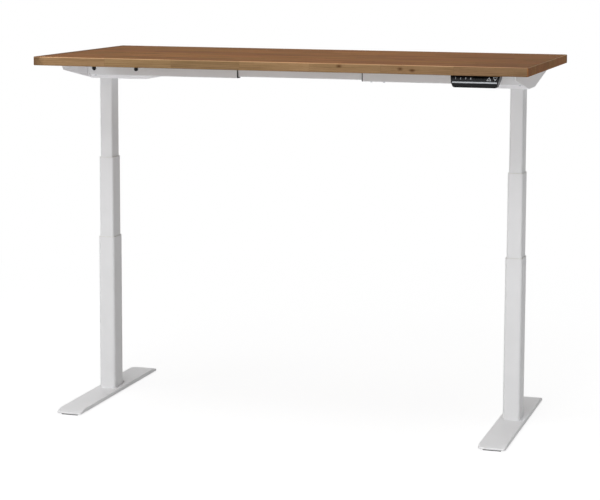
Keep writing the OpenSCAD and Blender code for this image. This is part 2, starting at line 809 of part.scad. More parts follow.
module keypad_solid(drop) {
    translate([keypad_x, keypad_front, 0]) intersection() {
        along_x(keypad_w + 2 * eps) polygon(keypad_profile(drop));
        translate([0, keypad_d / 2, 0]) along_y(keypad_d + 2 * eps) keypad_front_outline(drop);
    }
}

// A frame on the key panel: +X along the desk, +Y up the panel and +Z out of it
module on_panel() {
    translate([keypad_x, panel_mid_y, panel_mid_z]) rotate([panel_tilt, 0, 0]) children();
}

module key_windows() {
    on_panel() {
        for (x = memory_key_x) translate([x, 0, -2 * keypad_wall])
            linear_extrude(4 * keypad_wall) rounded(memory_key_w, key_h, key_r);
        for (x = arrow_key_x) translate([x, 0, -2 * keypad_wall])
            linear_extrude(4 * keypad_wall) rounded(arrow_key_w, key_h, key_r);
        translate([display_x, 0, -display_t]) linear_extrude(4 * keypad_wall)
            rounded(display_w, key_h, key_r);
    }
}

// The silver strip's groove, on the front just under the key panel
module strip_bar(gap) {
    translate([keypad_x - strip_w / 2 - gap, keypad_front - gap, under_z - panel_h - strip_h - gap])
        cube([strip_w + 2 * gap, strip_seat + 2 * gap, strip_h + 2 * gap]);
}

module keypad_shell() {
    color("black") difference() {
        keypad_solid(0);
        difference() {
            intersection() {
                keypad_solid(keypad_wall);
                translate([keypad_x - keypad_w, keypad_front - eps, 0])
                    cube([2 * keypad_w, keypad_d + 2 * eps, under_z - keypad_ear_t]);
            }
            keypad_screw_places() translate([0, 0, under_z - keypad_h])
                cylinder(h = keypad_h, r = wood_head_r + keypad_post_room + keypad_post_wall);
        }
        key_windows();
        strip_bar(seat_gap);
        keypad_screw_places() {
            translate([0, 0, under_z - keypad_h - eps])
                cylinder(h = keypad_h - keypad_ear_t + eps, r = wood_head_r + keypad_post_room);
            translate([0, 0, under_z - keypad_ear_t - eps])
                cylinder(h = keypad_ear_t + 2 * eps, r = wood_screw_r + bolt_gap);
        }
    }
}

module keypad_strip() {
    color("silver") strip_bar(0);
}

module keypad_display() {
    color("darkslategray") on_panel() translate([display_x, 0, -display_t + seat_gap])
        linear_extrude(display_t - seat_gap)
            rounded(display_w - 2 * seat_gap, key_h - 2 * seat_gap, key_r);
}

// A key cap in its window, with a flange that holds it behind the panel
module key_cap(x, w) {
    color("black") on_panel() translate([x, 0, 0]) {
        translate([0, 0, key_proud - key_t - key_travel]) linear_extrude(key_t + key_travel)
            rounded(w - 2 * key_gap, key_h - 2 * key_gap, key_r - key_gap);
        translate([0, 0, -keypad_wall - key_gap - key_flange_t]) linear_extrude(key_flange_t)
            rounded(w + 2 * key_flange, key_h + 2 * key_flange, key_r);
    }
}

desktop();
desktop_screws();
foot(-1);  // left_foot
foot(1);  // right_foot
pad(-1, -1);  // front_left_pad
pad(1, -1);  // front_right_pad
pad(-1, 1);  // rear_left_pad
pad(1, 1);  // rear_right_pad
foot_bolts();
outer_tube(-1);  // left_outer_tube
outer_tube(1);  // right_outer_tube
outer_glide(-1);  // left_outer_glide
outer_glide(1);  // right_outer_glide
push_tube(-1);  // left_push_tube
push_tube(1);  // right_push_tube
base_nut(-1);  // left_base_nut
base_nut(1);  // right_base_nut
middle_tube(-1);  // left_middle_tube
middle_tube(1);  // right_middle_tube
middle_glide(-1);  // left_middle_glide
middle_glide(1);  // right_middle_glide
carrier_tube(-1);  // left_carrier_tube
carrier_tube(1);  // right_carrier_tube
carrier_nut(-1);  // left_carrier_nut
carrier_nut(1);  // right_carrier_nut
lower_screw(-1);  // left_lower_screw
lower_screw(1);  // right_lower_screw
inner_tube(-1);  // left_inner_tube
inner_tube(1);  // right_inner_tube
upper_screw(-1);  // left_upper_screw
upper_screw(1);  // right_upper_screw
gearbox(-1);  // left_gearbox
gearbox(1);  // right_gearbox
motor(-1);  // left_motor
motor(1);  // right_motor
head_box(-1);  // left_head_box
head_box(1);  // right_head_box
side_arm(-1);  // left_side_arm
side_arm(1);  // right_side_arm
outer_rail(-1, -1);  // left_front_rail
outer_rail(-1, 1);  // left_rear_rail
outer_rail(1, -1);  // right_front_rail
outer_rail(1, 1);  // right_rear_rail
centre_rail(-1);  // front_centre_rail
centre_rail(1);  // rear_centre_rail
rail_liners();
rail_bolts();
rail_set_screws();
control_box();
mains_inlet();
keypad_shell();
keypad_strip();
keypad_display();
key_cap(memory_key_x[0], memory_key_w);  // memory_key_1
key_cap(memory_key_x[1], memory_key_w);  // memory_key_2
key_cap(memory_key_x[2], memory_key_w);  // memory_key_3
key_cap(memory_key_x[3], memory_key_w);  // memory_key_4
key_cap(arrow_key_x[0], arrow_key_w);  // up_key
key_cap(arrow_key_x[1], arrow_key_w);  // down_key
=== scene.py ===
"""The finished look of a height-adjustable desk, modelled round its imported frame.

Each operator models one piece or one group of like pieces and gives it its finish. Lengths are
in metres, in the frame's own axes: +X to the desk's right, +Y to its back edge, +Z up.
"""

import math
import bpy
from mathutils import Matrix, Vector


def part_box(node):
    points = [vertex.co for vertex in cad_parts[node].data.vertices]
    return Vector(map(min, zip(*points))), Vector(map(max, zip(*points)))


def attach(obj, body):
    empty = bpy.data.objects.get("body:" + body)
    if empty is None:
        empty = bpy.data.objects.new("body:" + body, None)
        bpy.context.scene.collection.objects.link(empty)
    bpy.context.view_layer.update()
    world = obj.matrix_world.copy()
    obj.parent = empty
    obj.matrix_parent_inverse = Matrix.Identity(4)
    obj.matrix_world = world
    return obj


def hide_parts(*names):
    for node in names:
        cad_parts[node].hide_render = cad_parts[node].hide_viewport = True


bl_info = {
    "name": "Height-adjustable desk",
    "version": (1, 0, 0),
    "blender": (4, 5, 0),
    "location": "View3D > Sidebar > Desk",
    "description": "Models and finishes the pieces of a height-adjustable desk",
    "category": "Object",
}

from functools import partial

import bmesh
import bpy
from bpy.props import FloatProperty, FloatVectorProperty, IntProperty, PointerProperty
from mathutils import Matrix, Vector

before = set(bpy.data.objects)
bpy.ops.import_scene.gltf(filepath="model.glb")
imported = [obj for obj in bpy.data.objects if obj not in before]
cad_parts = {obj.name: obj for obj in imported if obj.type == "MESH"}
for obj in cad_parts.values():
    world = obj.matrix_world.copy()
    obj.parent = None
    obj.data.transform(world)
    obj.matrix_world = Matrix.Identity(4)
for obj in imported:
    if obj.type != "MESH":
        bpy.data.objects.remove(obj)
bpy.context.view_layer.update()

SIDES = ("left", "right")
KEYS = ("memory_key_1", "memory_key_2", "memory_key_3", "memory_key_4", "up_key", "down_key")
MM = 0.001
# Two places closer than this are the same
NEAR = 1e-5
MIRROR = Matrix.Diagonal((-1, 1, 1, 1))
# The two colour inputs of a Mix node
MIX_A, MIX_B = 6, 7
WHITE = (1, 1, 1, 1)


def linear(code):
    """An sRGB hex colour such as #B08050 as linear red, green and blue."""
    parts = [int(code[i:i + 2], 16) / 255 for i in (1, 3, 5)]
    return tuple(c / 12.92 if c <= 0.04045 else ((c + 0.055) / 1.055) ** 2.4 for c in parts)


def length(name, description, millimetres):
    """A length that the user can change, with its default in millimetres."""
    return FloatProperty(name=name, description=description, default=millimetres * MM,
                         min=0.0, precision=5, unit="LENGTH")


def angle(name, description, degrees):
    """An angle that the user can change, with its default in degrees."""
    return FloatProperty(name=name, description=description, default=math.radians(degrees),
                         subtype="ANGLE")


def power(name, description, watts):
    """A lamp's power that the user can change."""
    return FloatProperty(name=name, description=description, default=watts, min=0.0, unit="POWER")


def colour(name, description, code):
    """A colour that the user can change, with its default as an sRGB hex code."""
    return FloatVectorProperty(name=name, description=description, default=linear(code),
                               size=3, min=0.0, max=1.0, subtype="COLOR")


class DESK_PG_board(bpy.types.PropertyGroup):
    corner: length("Corner", "Radius of the board's upright corners", 5)
    arris: length("Arris", "Rounding of the board's long edges", 2.4)
    stave_width: length("Stave width", "Width of one glued stave", 45)
    stave_length: length("Stave length", "Length of the staves along the front edge", 215)
    front_joint: length("Front joint", "A joint of the front edge, right of the middle", 118.5)
    joint_width: length("Joint width", "Width of the dark glue line where two staves meet", 1.0)
    figure_width: length("Figure width", "Width of the broad bands in the wood", 13)
    ring_spacing: length("Ring spacing", "Distance between two growth rings", 5)
    grain_width: length("Grain width", "Width of the fine streaks in the wood", 2.6)
    pore_width: length("Pore width", "Width of the short dark pores", 1.1)
    knot_radius: length("Knot radius", "Radius of the small knots", 5.5)
    # Painted shade: the board is darkened this far from its left end, where its rounded corner turns away
    # from the light
    left_end_shade: length("Left end shade", "How far the darker stain reaches from the left end", 38)
    seed: IntProperty(name="Seed", description="Another layout of staves", default=3, min=0)
    face_dark: colour("Face, dark", "Darker wood of the upper face", "#6B4620")
    face_light: colour("Face, light", "Lighter wood of the upper face", "#916235")
    edge_dark: colour("Edge, dark", "Darker wood of the board's edges", "#836848")
    edge_light: colour("Edge, light", "Lighter wood of the board's edges", "#9C7E5B")
    end_dark: colour("End, dark", "Darker wood of the end grain", "#A57346")
    end_light: colour("End, light", "Lighter wood of the end grain", "#BC8655")
    # The arris colours are a painted highlight: lighter wood on the rounded long edges, where the light
    # catches them
    arris_dark: colour("Arris, dark", "Darker wood of the arris, as a painted highlight", "#B38C66")
    arris_light: colour("Arris, light", "Lighter wood of the arris, as a painted highlight", "#CBA47D")
    knot: colour("Knot", "Dark wood of a knot", "#4A2C18")


class DESK_PG_frame(bpy.types.PropertyGroup):
    tube_corner: length("Tube corner", "Corner radius of the outer tube", 8)
    corner_step: length("Corner step", "How much less each inner tube's corner radius is", 1)
    tube_wall: length("Tube wall", "Wall of each tube", 1.5)
    glide_width: length("Glide width", "Width of a glide's rim", 2.8)
    foot_corner: length("Foot corner", "Corner radius of a foot seen from above", 10)
    foot_slope: length("Foot slope", "Length of the slope at each end of a foot", 38)
    foot_nose: length("Foot nose", "Height of a foot's steel at its ends", 5)
    foot_fold: length("Foot fold", "Rounding of a foot's upper edge", 2.6)
    foot_wall: length("Foot wall", "Steel thickness of a foot", 3)
    foot_end: length("Foot end", "Solid length at each end of a foot", 52)
    heel_height: length("Heel height", "Height of the wedge behind a tube", 16)
    heel_lip: length("Heel lip", "Height of the wedge at its thin end", 2)
    head_corner: length("Head corner", "Radius of a head box's inner lower corner", 28)
    sheet: length("Sheet", "Sheet thickness of the head box", 2.5)
    arm_sheet: length("Arm sheet", "Sheet thickness of a side arm", 3)
    arm_tip: length("Arm tip", "Depth of a side arm near its tip", 19)
    arm_level: length("Arm level", "Length of a side arm's level lower edge", 90)
    arm_end_cut: length("Arm end cut", "Length of the steep end of a side arm", 16)
    rail_corner: length("Rail corner", "Corner radius of the rails", 2.4)
    rail_wall: length("Rail wall", "Sheet thickness of the rails", 2)
    press_fold: length("Fold", "Rounding of folded and cut steel edges", 0.8)
    paint: colour("Paint", "Powder coating of the tubes, rails and feet", "#E9E9EA")
    # Painted light: the arms and head boxes under the board get a whiter copy of the frame's paint, which
    # stands in for the light that reaches them there
    lightened_press_paint: colour("Press paint", "Powder coating of the arms and head boxes, whiter as painted light", "#F8F7F9")


class DESK_PG_keypad(bpy.types.PropertyGroup):
    panel_height: length("Panel height", "Height of the sloping key panel", 17)
    panel_lean: length("Panel lean", "How far the key panel leans back", 10)
    chin: length("Chin", "Height of the slanting chin under the strip", 4)
    chin_depth: length("Chin depth", "Depth of the slanting chin", 3)
    floor: length("Floor", "Depth of the level floor behind the chin", 26)
    back: length("Back", "Height of the keypad at its back", 18)
    taper: length("Taper", "Width that the keypad loses on each side", 4.5)
    corner: length("Corner", "Radius of the round lower corners", 9)
    edge: length("Edge", "Rounding of the moulded edges", 0.7)
    key_height: length("Key height", "Height of a key's window", 13.5)
    key_gap: length("Key gap", "Gap round a key", 0.25)
    key_proud: length("Key proud", "How far a key stands out", 0.4)
    key_corner: length("Key corner", "Corner radius of a key", 1.5)
    key_depth: length("Key depth", "Depth of a key's cap", 3)
    mark_height: length("Mark height", "Height of the figures on the keys", 5)
    triangle_width: length("Triangle width", "Width of the triangles on the lifting keys", 13.6)
    triangle_height: length("Triangle height", "Height of the triangles on the lifting keys", 11.5)
    triangle_line: length("Triangle line", "Line width of the triangles", 1.15)


class DESK_PG_stage(bpy.types.PropertyGroup):
    camera_place: FloatVectorProperty(
        name="Camera place", description="Where the camera stands", subtype="XYZ",
        unit="LENGTH", default=(1.66035, -5.42889, 1.44618))
    azimuth: angle("Azimuth", "How far the camera is turned round the desk", 17.162)
    elevation: angle("Elevation", "How far the camera looks down", 6.571)
    roll: angle("Roll", "How far the camera leans sideways", 0.2206)
    lens: FloatProperty(name="Lens", description="Focal length in millimetres", default=109.43, min=1.0)
    shift: FloatProperty(name="Shift", description="Vertical lens shift", default=-0.15)
    world_light: FloatProperty(name="World light", description="Strength of the even light",
                               default=0.15, min=0.0)
    left_power: power("Left lamp", "Power of the soft lamp high on the left", 32)
    top_power: power("Overhead lamp", "Power of the wide lamp overhead", 542)
    front_power: power("Front lamp", "Power of the soft lamp in front", 63)
    upper_power: power("Upper front lamp", "Power of the soft lamp high in front", 131)
    floor_size: length("Floor size", "Side of the square floor", 40000)


def leave_edit_mode():
    """Closes edit mode and deselects all, because an operator acts on all that is selected."""
    if bpy.context.object and bpy.context.object.mode != "OBJECT":
        bpy.ops.object.mode_set(mode="OBJECT")
    bpy.ops.object.select_all(action="DESELECT")


def activate(piece):
    """Makes a piece the only selected one."""
    leave_edit_mode()
    piece.select_set(True)
    bpy.context.view_layer.objects.active = piece


def apply_place():
    """Writes the active object's place, turn and scale into its mesh."""
    bpy.ops.object.transform_apply(location=True, rotation=True, scale=True)
    return bpy.context.object


def settle(name):
    """Writes a new object's place into its mesh and opens it in edit mode with nothing picked."""
    piece = apply_place()
    piece.name = name
    bpy.ops.object.mode_set(mode="EDIT")
    bpy.ops.mesh.select_all(action="DESELECT")
    return piece


def block(name, low, high):
    """A box between two corners, open in edit mode."""
    leave_edit_mode()
    low, high = Vector(low), Vector(high)
    bpy.ops.mesh.primitive_cube_add(size=1, location=(low + high) / 2, scale=high - low)
    return settle(name)


def rod(name, start, end, radius, sides=32):
    """A straight bar of round or many-sided section between two points, open in edit mode."""
    leave_edit_mode()
    start, end = Vector(start), Vector(end)
    turn = (end - start).to_track_quat("Z", "Y").to_euler()
    bpy.ops.mesh.primitive_cylinder_add(vertices=sides, radius=radius, depth=(end - start).length,
                                        location=(start + end) / 2, rotation=turn)
    return settle(name)


def pick(kind, test):
    """Picks the corners, edges or faces that the test holds for, in edit mode."""
    bpy.ops.mesh.select_mode(type=kind)
    bpy.ops.mesh.select_all(action="DESELECT")
    mesh = bpy.context.edit_object.data
    shape = bmesh.from_edit_mesh(mesh)
    shape.normal_update()
    found = [part for part in {"VERT": shape.verts, "EDGE": shape.edges, "FACE": shape.faces}[kind]
             if test(part)]
    if not found:
        raise RuntimeError(f"nothing to pick on {bpy.context.edit_object.name}")
    for part in found:
        part.select_set(True)
    shape.select_flush_mode()
    bmesh.update_edit_mesh(mesh)


def at(axis, *values):
    """A test for corners, edges or faces that lie wholly at one of these places on an axis."""
    def test(part):
        corners = [part] if isinstance(part, bmesh.types.BMVert) else part.verts
        return any(all(abs(c.co[axis] - value) < NEAR for c in corners) for value in values)
    return test


def both(*tests):
    """A test that holds where all of these tests hold."""
    return lambda part: all(test(part) for test in tests)


def way_of(edge):
    """The direction that an edge runs in."""
    return (edge.verts[1].co - edge.verts[0].co).normalized()


def along(axis):
    """A test for edges that run along an axis."""
    return lambda edge: abs(way_of(edge)[axis]) > 0.999


def facing(*direction):
    """A test for faces that point in a direction."""
    return lambda face: face.normal.dot(Vector(direction).normalized()) > 0.99


def folded(edge):
    """A test for edges whose two faces meet at more than 30 degrees."""
    return len(edge.link_faces) == 2 and 30 < math.degrees(edge.calc_face_angle()) < 180


def upper_outline(edge):
    """A test for edges between a face that points up and one that points sideways."""
    slopes = sorted(face.normal.z for face in edge.link_faces)
    return len(slopes) == 2 and slopes[1] > 0.5 and abs(slopes[0]) < 0.5


def bevel(edges, offset, segments):
    """Rounds the edges that a test holds for."""
    pick("EDGE", edges)
    bpy.ops.mesh.bevel(offset=offset, segments=segments, affect="EDGES", clamp_overlap=True)


def open_up(faces):
    """Deletes the faces that a test holds for."""
    pick("FACE", faces)
    bpy.ops.mesh.delete(type="FACE")


def cut(point, normal, trim=True):
    """Cuts the whole mesh by a plane, and takes off what lies beyond it if trim is set."""
    bpy.ops.mesh.select_all(action="SELECT")
    bpy.ops.mesh.bisect(plane_co=point, plane_no=normal, use_fill=trim, clear_outer=trim,
                        threshold=NEAR / 10)


def move(*way):
    """Moves what is picked."""
    bpy.ops.transform.translate(value=way)


def modify(piece, kind, **settings):
    """Adds a modifier with these settings and applies it."""
    activate(piece)
    bpy.ops.object.modifier_add(type=kind)
    modifier = piece.modifiers[-1]
    for name, value in settings.items():
        setattr(modifier, name, value)
    bpy.ops.object.modifier_apply(modifier=modifier.name)


def thicken(piece, wall):
    """Gives an open shell its wall, inwards."""
    modify(piece, "SOLIDIFY", thickness=wall, offset=-1, use_even_offset=True)


def carve(piece, *cutters):
    """Takes the shapes of the cutters out of a piece and removes them."""
    for cutter in cutters:
        modify(piece, "BOOLEAN", operation="DIFFERENCE", solver="EXACT", object=cutter)
        bpy.data.objects.remove(cutter)


def soften(piece, radius, segments=2):
    """Rounds every edge of a piece that is sharper than 40 degrees."""
    modify(piece, "BEVEL", width=radius, segments=segments, limit_method="ANGLE",
           angle_limit=math.radians(40), use_clamp_overlap=True, miter_outer="MITER_ARC")


def open_tube(name, low, high, axis, corner, wall, closed_below=False, segments=10,
              edge=0.3 * MM, edge_segments=2):
    """A rectangular tube along an axis with round corners, open at its ends unless told."""
    tube = block(name, low, high)
    bevel(along(axis), corner, segments)
    open_up(at(axis, high[axis]) if closed_below else at(axis, low[axis], high[axis]))
    thicken(tube, wall)
    soften(tube, edge, edge_segments)
    return tube


def copied(piece, name, place):
    """A copy of a piece with its own mesh, moved, turned or mirrored by a matrix."""
    activate(piece)
    bpy.ops.object.duplicate()
    twin = bpy.context.object
    twin.name = name
    twin.matrix_world = place
    apply_place()
    if place.determinant() < 0:
        bpy.ops.object.mode_set(mode="EDIT")
        bpy.ops.mesh.select_all(action="SELECT")
        bpy.ops.mesh.normals_make_consistent(inside=False)
    leave_edit_mode()
    return twin


def joined(name, pieces):
    """Several pieces as one."""
    activate(pieces[0])
    for piece in pieces:
        piece.select_set(True)
    bpy.ops.object.join()
    bpy.context.object.name = name
    return bpy.context.object


def finish_piece(piece, body, look, nodes=(), smooth=35):
    """Shades a piece, gives it its finish, and lets it move with its body in place of CAD nodes."""
    activate(piece)
    bpy.ops.object.shade_smooth_by_angle(angle=math.radians(smooth))
    modify(piece, "WEIGHTED_NORMAL", keep_sharp=True)
    if not piece.data.materials:
        piece.data.materials.append(finish(look))
    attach(piece, body)
    if nodes:
        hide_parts(*nodes)
    leave_edit_mode()


def finish_pair(right, name, node):
    """Mirrors a right-hand pressing for the left side and finishes both."""
    left = copied(right, f"left_{name}", MIRROR)
    for side, piece in (("right", right), ("left", left)):
        # The pressed parts take the whiter paint, as painted light
        finish_piece(piece, "desk_top", "lightened_press_paint", [f"{side}_{node}"])


def solids(node):
    """The lowest and highest corner of each separate solid in a CAD node, from left to right."""
    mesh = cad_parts[node].data
    group = {}

    def root(key):
        while group.setdefault(key, key) != key:
            key = group[key]
        return key

    keys = [tuple(round(c / NEAR) for c in vertex.co) for vertex in mesh.vertices]
    for face in mesh.polygons:
        first = root(keys[face.vertices[0]])
        for corner in face.vertices[1:]:
            group[root(keys[corner])] = first
    found = {}
    for key in keys:
        found.setdefault(root(key), []).append(Vector(key) * NEAR)
    boxes = [(Vector(map(min, zip(*points))), Vector(map(max, zip(*points))))
             for points in found.values()]
    return sorted(boxes, key=lambda corners: tuple(corners[0]))


def fill(node, sockets):
    """Gives each input a value, or links it to an output or to a node's first output in use."""
    for socket, value in sockets.items():
        if isinstance(value, bpy.types.Node):
            value = next(output for output in value.outputs if output.enabled)
        if isinstance(value, bpy.types.NodeSocket):
            node.id_data.links.new(value, node.inputs[socket])
        else:
            node.inputs[socket].default_value = value


def add_node(tree, kind, sockets=None, **settings):
    """Adds a shader node with its settings, and fills its inputs."""
    node = tree.nodes.new(f"ShaderNode{kind}")
    for name, value in settings.items():
        setattr(node, name, value)
    fill(node, sockets or {})
    return node


def new_material(name, **surface):
    """A material, the function that adds its nodes, its Principled shader and Object coordinates."""
    material = bpy.data.materials.new(name)
    material.use_nodes = True
    add = partial(add_node, material.node_tree)
    shader = material.node_tree.nodes["Principled BSDF"]
    fill(shader, {socket.replace("_", " "): value for socket, value in surface.items()})
    return material, add, shader, add("TexCoord").outputs["Object"]


def opaque(rgb):
    """A colour with full alpha, as a node's socket takes it."""
    return (*rgb, 1.0)


def stained_oak(name, dark, light, settings):
    """Oak staves glued together, stained brown and rubbed with a matt oil.

    Each stave has its own tone, and long soft streaks run along it. A dark hairline shows where
    two staves meet, and there is hardly any shine, because the oil doesn't fill the pores. The
    glue line is 0.2 mm wide on the real thing, and drawn wider so that it shows. The scale of a
    noise texture is one over the width of its features.
    """
    material, add, shader, place = new_material(name, Roughness=0.6, Specular_IOR_Level=0.02)
    low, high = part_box("desktop")
    at_place = add("SeparateXYZ", {0: place})
    x, y = at_place.outputs["X"], at_place.outputs["Y"]
    # Rows of staves are counted from the front edge, where the first has lost a little in the sawing
    row_place = add("Math", {0: y, 1: low.y - 3 * MM}, operation="SUBTRACT")
    row_share = add("Math", {0: row_place, 1: settings.stave_width}, operation="DIVIDE")
    row = add("Math", {0: row_share}, operation="FLOOR")
    # Each row starts further along by the golden share of a stave, so that no two joints line up
    offset = add("Math", {0: row, 1: 0.618}, operation="MULTIPLY")
    from_joint = add("Math", {0: x, 1: settings.front_joint}, operation="SUBTRACT")
    column_share = add("Math", {0: from_joint, 1: 1 / settings.stave_length, 2: offset},
                       operation="MULTIPLY_ADD")
    column = add("Math", {0: column_share}, operation="FLOOR")
    stave = add("CombineXYZ", {0: row, 1: column, 2: float(settings.seed)})
    stave_random = add("TexWhiteNoise", {"Vector": stave}, noise_dimensions="3D").outputs["Color"]

    def figure(stretch, width, detail, **more):
        """Noise stretched along the stave, which starts anew on each one, and its own place."""
        stretched = add("VectorMath", {0: place, 1: (stretch, 1.0, 1.0)}, operation="MULTIPLY")
        own_place = add("VectorMath", {0: stave_random, 1: (3.0, 0.4, 0.4), 2: stretched},
                        operation="MULTIPLY_ADD")
        return add("TexNoise", {"Vector": own_place, "Scale": 1 / width, "Detail": detail,
                                "Roughness": 0.55, **more}), own_place

    bands, own_place = figure(0.05, settings.figure_width, 2.0, Distortion=0.4)
    streaks, _ = figure(0.045, settings.grain_width, 4.0)
    pores, _ = figure(0.1, settings.pore_width, 1.0)
    # A wave texture's rings are 0.314 units apart at scale 1
    rings = add("TexWave", {"Vector": own_place, "Scale": 0.314 / settings.ring_spacing,
                            "Distortion": 9.0, "Detail": 3.0, "Detail Scale": 0.5,
                            "Detail Roughness": 0.65}, wave_type="RINGS", rings_direction="X")
    grain = add("Mix", {0: 0.5, 2: bands, 3: streaks}, data_type="FLOAT")
    ringed = add("Mix", {0: 0.12, 2: grain, 3: rings.outputs["Fac"]}, data_type="FLOAT")
    lightness = add("MapRange", {"Value": ringed, "From Min": 0.36, "From Max": 0.64})
    wood = add("Mix", {0: lightness, MIX_A: opaque(dark), MIX_B: opaque(light)}, data_type="RGBA")
    # Each stave has its own lightness and a slightly different hue
    stave_parts = add("SeparateColor", {0: stave_random})
    value = add("MapRange", {"Value": stave_parts.outputs[0], "To Min": 0.86, "To Max": 1.12})
    hue = add("MapRange", {"Value": stave_parts.outputs[1], "To Min": 0.492, "To Max": 0.505})
    along_board = add("VectorMath", {0: place, 1: (0.3, 1.0, 1.0)}, operation="MULTIPLY")
    cloud = add("TexNoise", {"Vector": along_board, "Scale": 1 / (120 * MM), "Detail": 2.0})
    column_joint, row_joint = (add("Math", {0: share, 1: 0.5}, operation="PINGPONG")
                               for share in (column_share, row_share))
    # Each of these lightens or darkens the wood between two of its own values
    for source, first, last, at_first, at_last in (
            # The stain lies in clouds
            (cloud, 0.3, 0.7, 0.88, 1.12),
            # Painted shade: the wood is darkest at the left end, where the rounded corner turns away from the
            # light, and darkens again over the right fifth, where less light falls on it
            (x, low.x, low.x + settings.left_end_shade, 0.45, 1.0),
            (x, high.x * 0.55, high.x, 1.0, 0.8),
            # Open pores are short dark dashes
            (pores, 0.6, 0.72, 1.0, 0.82),
            # Glue lines
            (column_joint, 0.0, settings.joint_width / settings.stave_length, 0.8, 1.0),
            (row_joint, 0.0, settings.joint_width / settings.stave_width, 0.8, 1.0)):
        shade = add("MapRange", {"Value": source, "From Min": first, "From Max": last,
                                 "To Min": at_first, "To Max": at_last})
        value = add("Math", {0: value, 1: shade}, operation="MULTIPLY")
    toned = add("HueSaturation", {"Hue": hue, "Value": value, "Color": wood})
    fill(shader, {
        "Base Color": add("Mix", {0: knot_places(add, place, streaks, settings), MIX_A: toned,
                                  MIX_B: opaque(settings.knot)}, data_type="RGBA"),
        "Roughness": add("MapRange", {"Value": streaks, "To Min": 0.52, "To Max": 0.7}),
        "Normal": add("Bump", {"Height": streaks, "Strength": 0.25, "Distance": 0.0002})})
    return material


# Where the front edge's knots are: from the board's middle and below its upper face, in millimetres
FRONT_KNOTS = ((209, 8), (391, 12), (427, 16))


def knot_places(add, place, streaks, settings):
    """How much of a knot shows: most in its heart and 0 in the clear wood round it."""
    low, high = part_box("desktop")
    radius = settings.knot_radius
    shown = None
    for along_edge, below in FRONT_KNOTS:
        heart = (along_edge * MM, low.y, high.z - below * MM)
        from_heart = add("VectorMath", {0: place, 1: heart}, operation="SUBTRACT")
        drawn_out = add("VectorMath", {0: from_heart, 1: (0.6, 1.0, 1.0)}, operation="MULTIPLY")
        distance = add("VectorMath", {0: drawn_out}, operation="LENGTH")
        # The streaks make its outline ragged
        ragged = add("Math", {0: streaks, 1: radius, 2: distance}, operation="MULTIPLY_ADD")
        knot = add("MapRange", {"Value": ragged, "From Min": 0.7 * radius, "From Max": 1.7 * radius,
                                "To Min": 0.85, "To Max": 0.0})
        shown = knot if shown is None else add("Math", {0: shown, 1: knot}, operation="MAXIMUM")
    return shown


def dress(add, shader, rgb, spread, gloss, pattern, relief, strength, depth):
    """Varies a surface's colour and gloss by one pattern, and its relief by another."""
    darker = opaque([c * (1 - spread) for c in rgb])
    lighter = opaque([min(1.0, c * (1 + spread)) for c in rgb])
    fill(shader, {
        "Base Color": add("Mix", {0: pattern, MIX_A: darker, MIX_B: lighter}, data_type="RGBA"),
        "Roughness": add("MapRange", {"Value": pattern, "To Min": gloss[0], "To Max": gloss[1]}),
        "Normal": add("Bump", {"Height": relief, "Strength": strength, "Distance": depth})})


def powder_coat(name, paint):
    """Steel with a baked powder coating: a soft sheen and the faint dimples called orange peel.

    The dimples are 0.8 mm wide on the real thing, and drawn 2 mm wide so that they show.
    """
    material, add, shader, place = new_material(name, Base_Color=opaque(paint), Roughness=0.4)
    dimples = add("TexNoise", {"Vector": place, "Scale": 1 / (2 * MM), "Detail": 1.0})
    cloud = add("TexNoise", {"Vector": place, "Scale": 1 / (60 * MM), "Detail": 3.0})
    dress(add, shader, paint, 0.03, (0.33, 0.47), cloud, dimples, 0.12, 0.0001)
    return material


def plain_finish(name, code, roughness, metallic=0.0, grain=1.5, depth=0.0001, strength=0.2,
                 stretch=(1.0, 1.0, 1.0), spread=0.12, **surface):
    """A finish with one colour, a fine grain in its surface and a slightly uneven gloss."""
    material, add, shader, place = new_material(name, Metallic=metallic, **surface)
    drawn = add("VectorMath", {0: place, 1: stretch}, operation="MULTIPLY")
    texture = add("TexNoise", {"Vector": drawn, "Scale": 1 / (grain * MM), "Detail": 3.0})
    gloss = (roughness * 0.8, min(1.0, roughness * 1.2))
    dress(add, shader, linear(code), spread, gloss, texture, texture, strength, depth)
    return material


# The arris finish is lighter wood, a painted highlight on the rounded long edges
OAK = {"face": "Stained oak, face", "edge": "Stained oak, edge",
       "end": "Stained oak, end grain", "arris": "Stained oak, sanded arris"}
# The pressed steel's coating is the frame's paint made whiter, as painted light under the board
POWDER_COATS = {"paint": "Powder-coated steel", "lightened_press_paint": "Powder-coated pressed steel"}
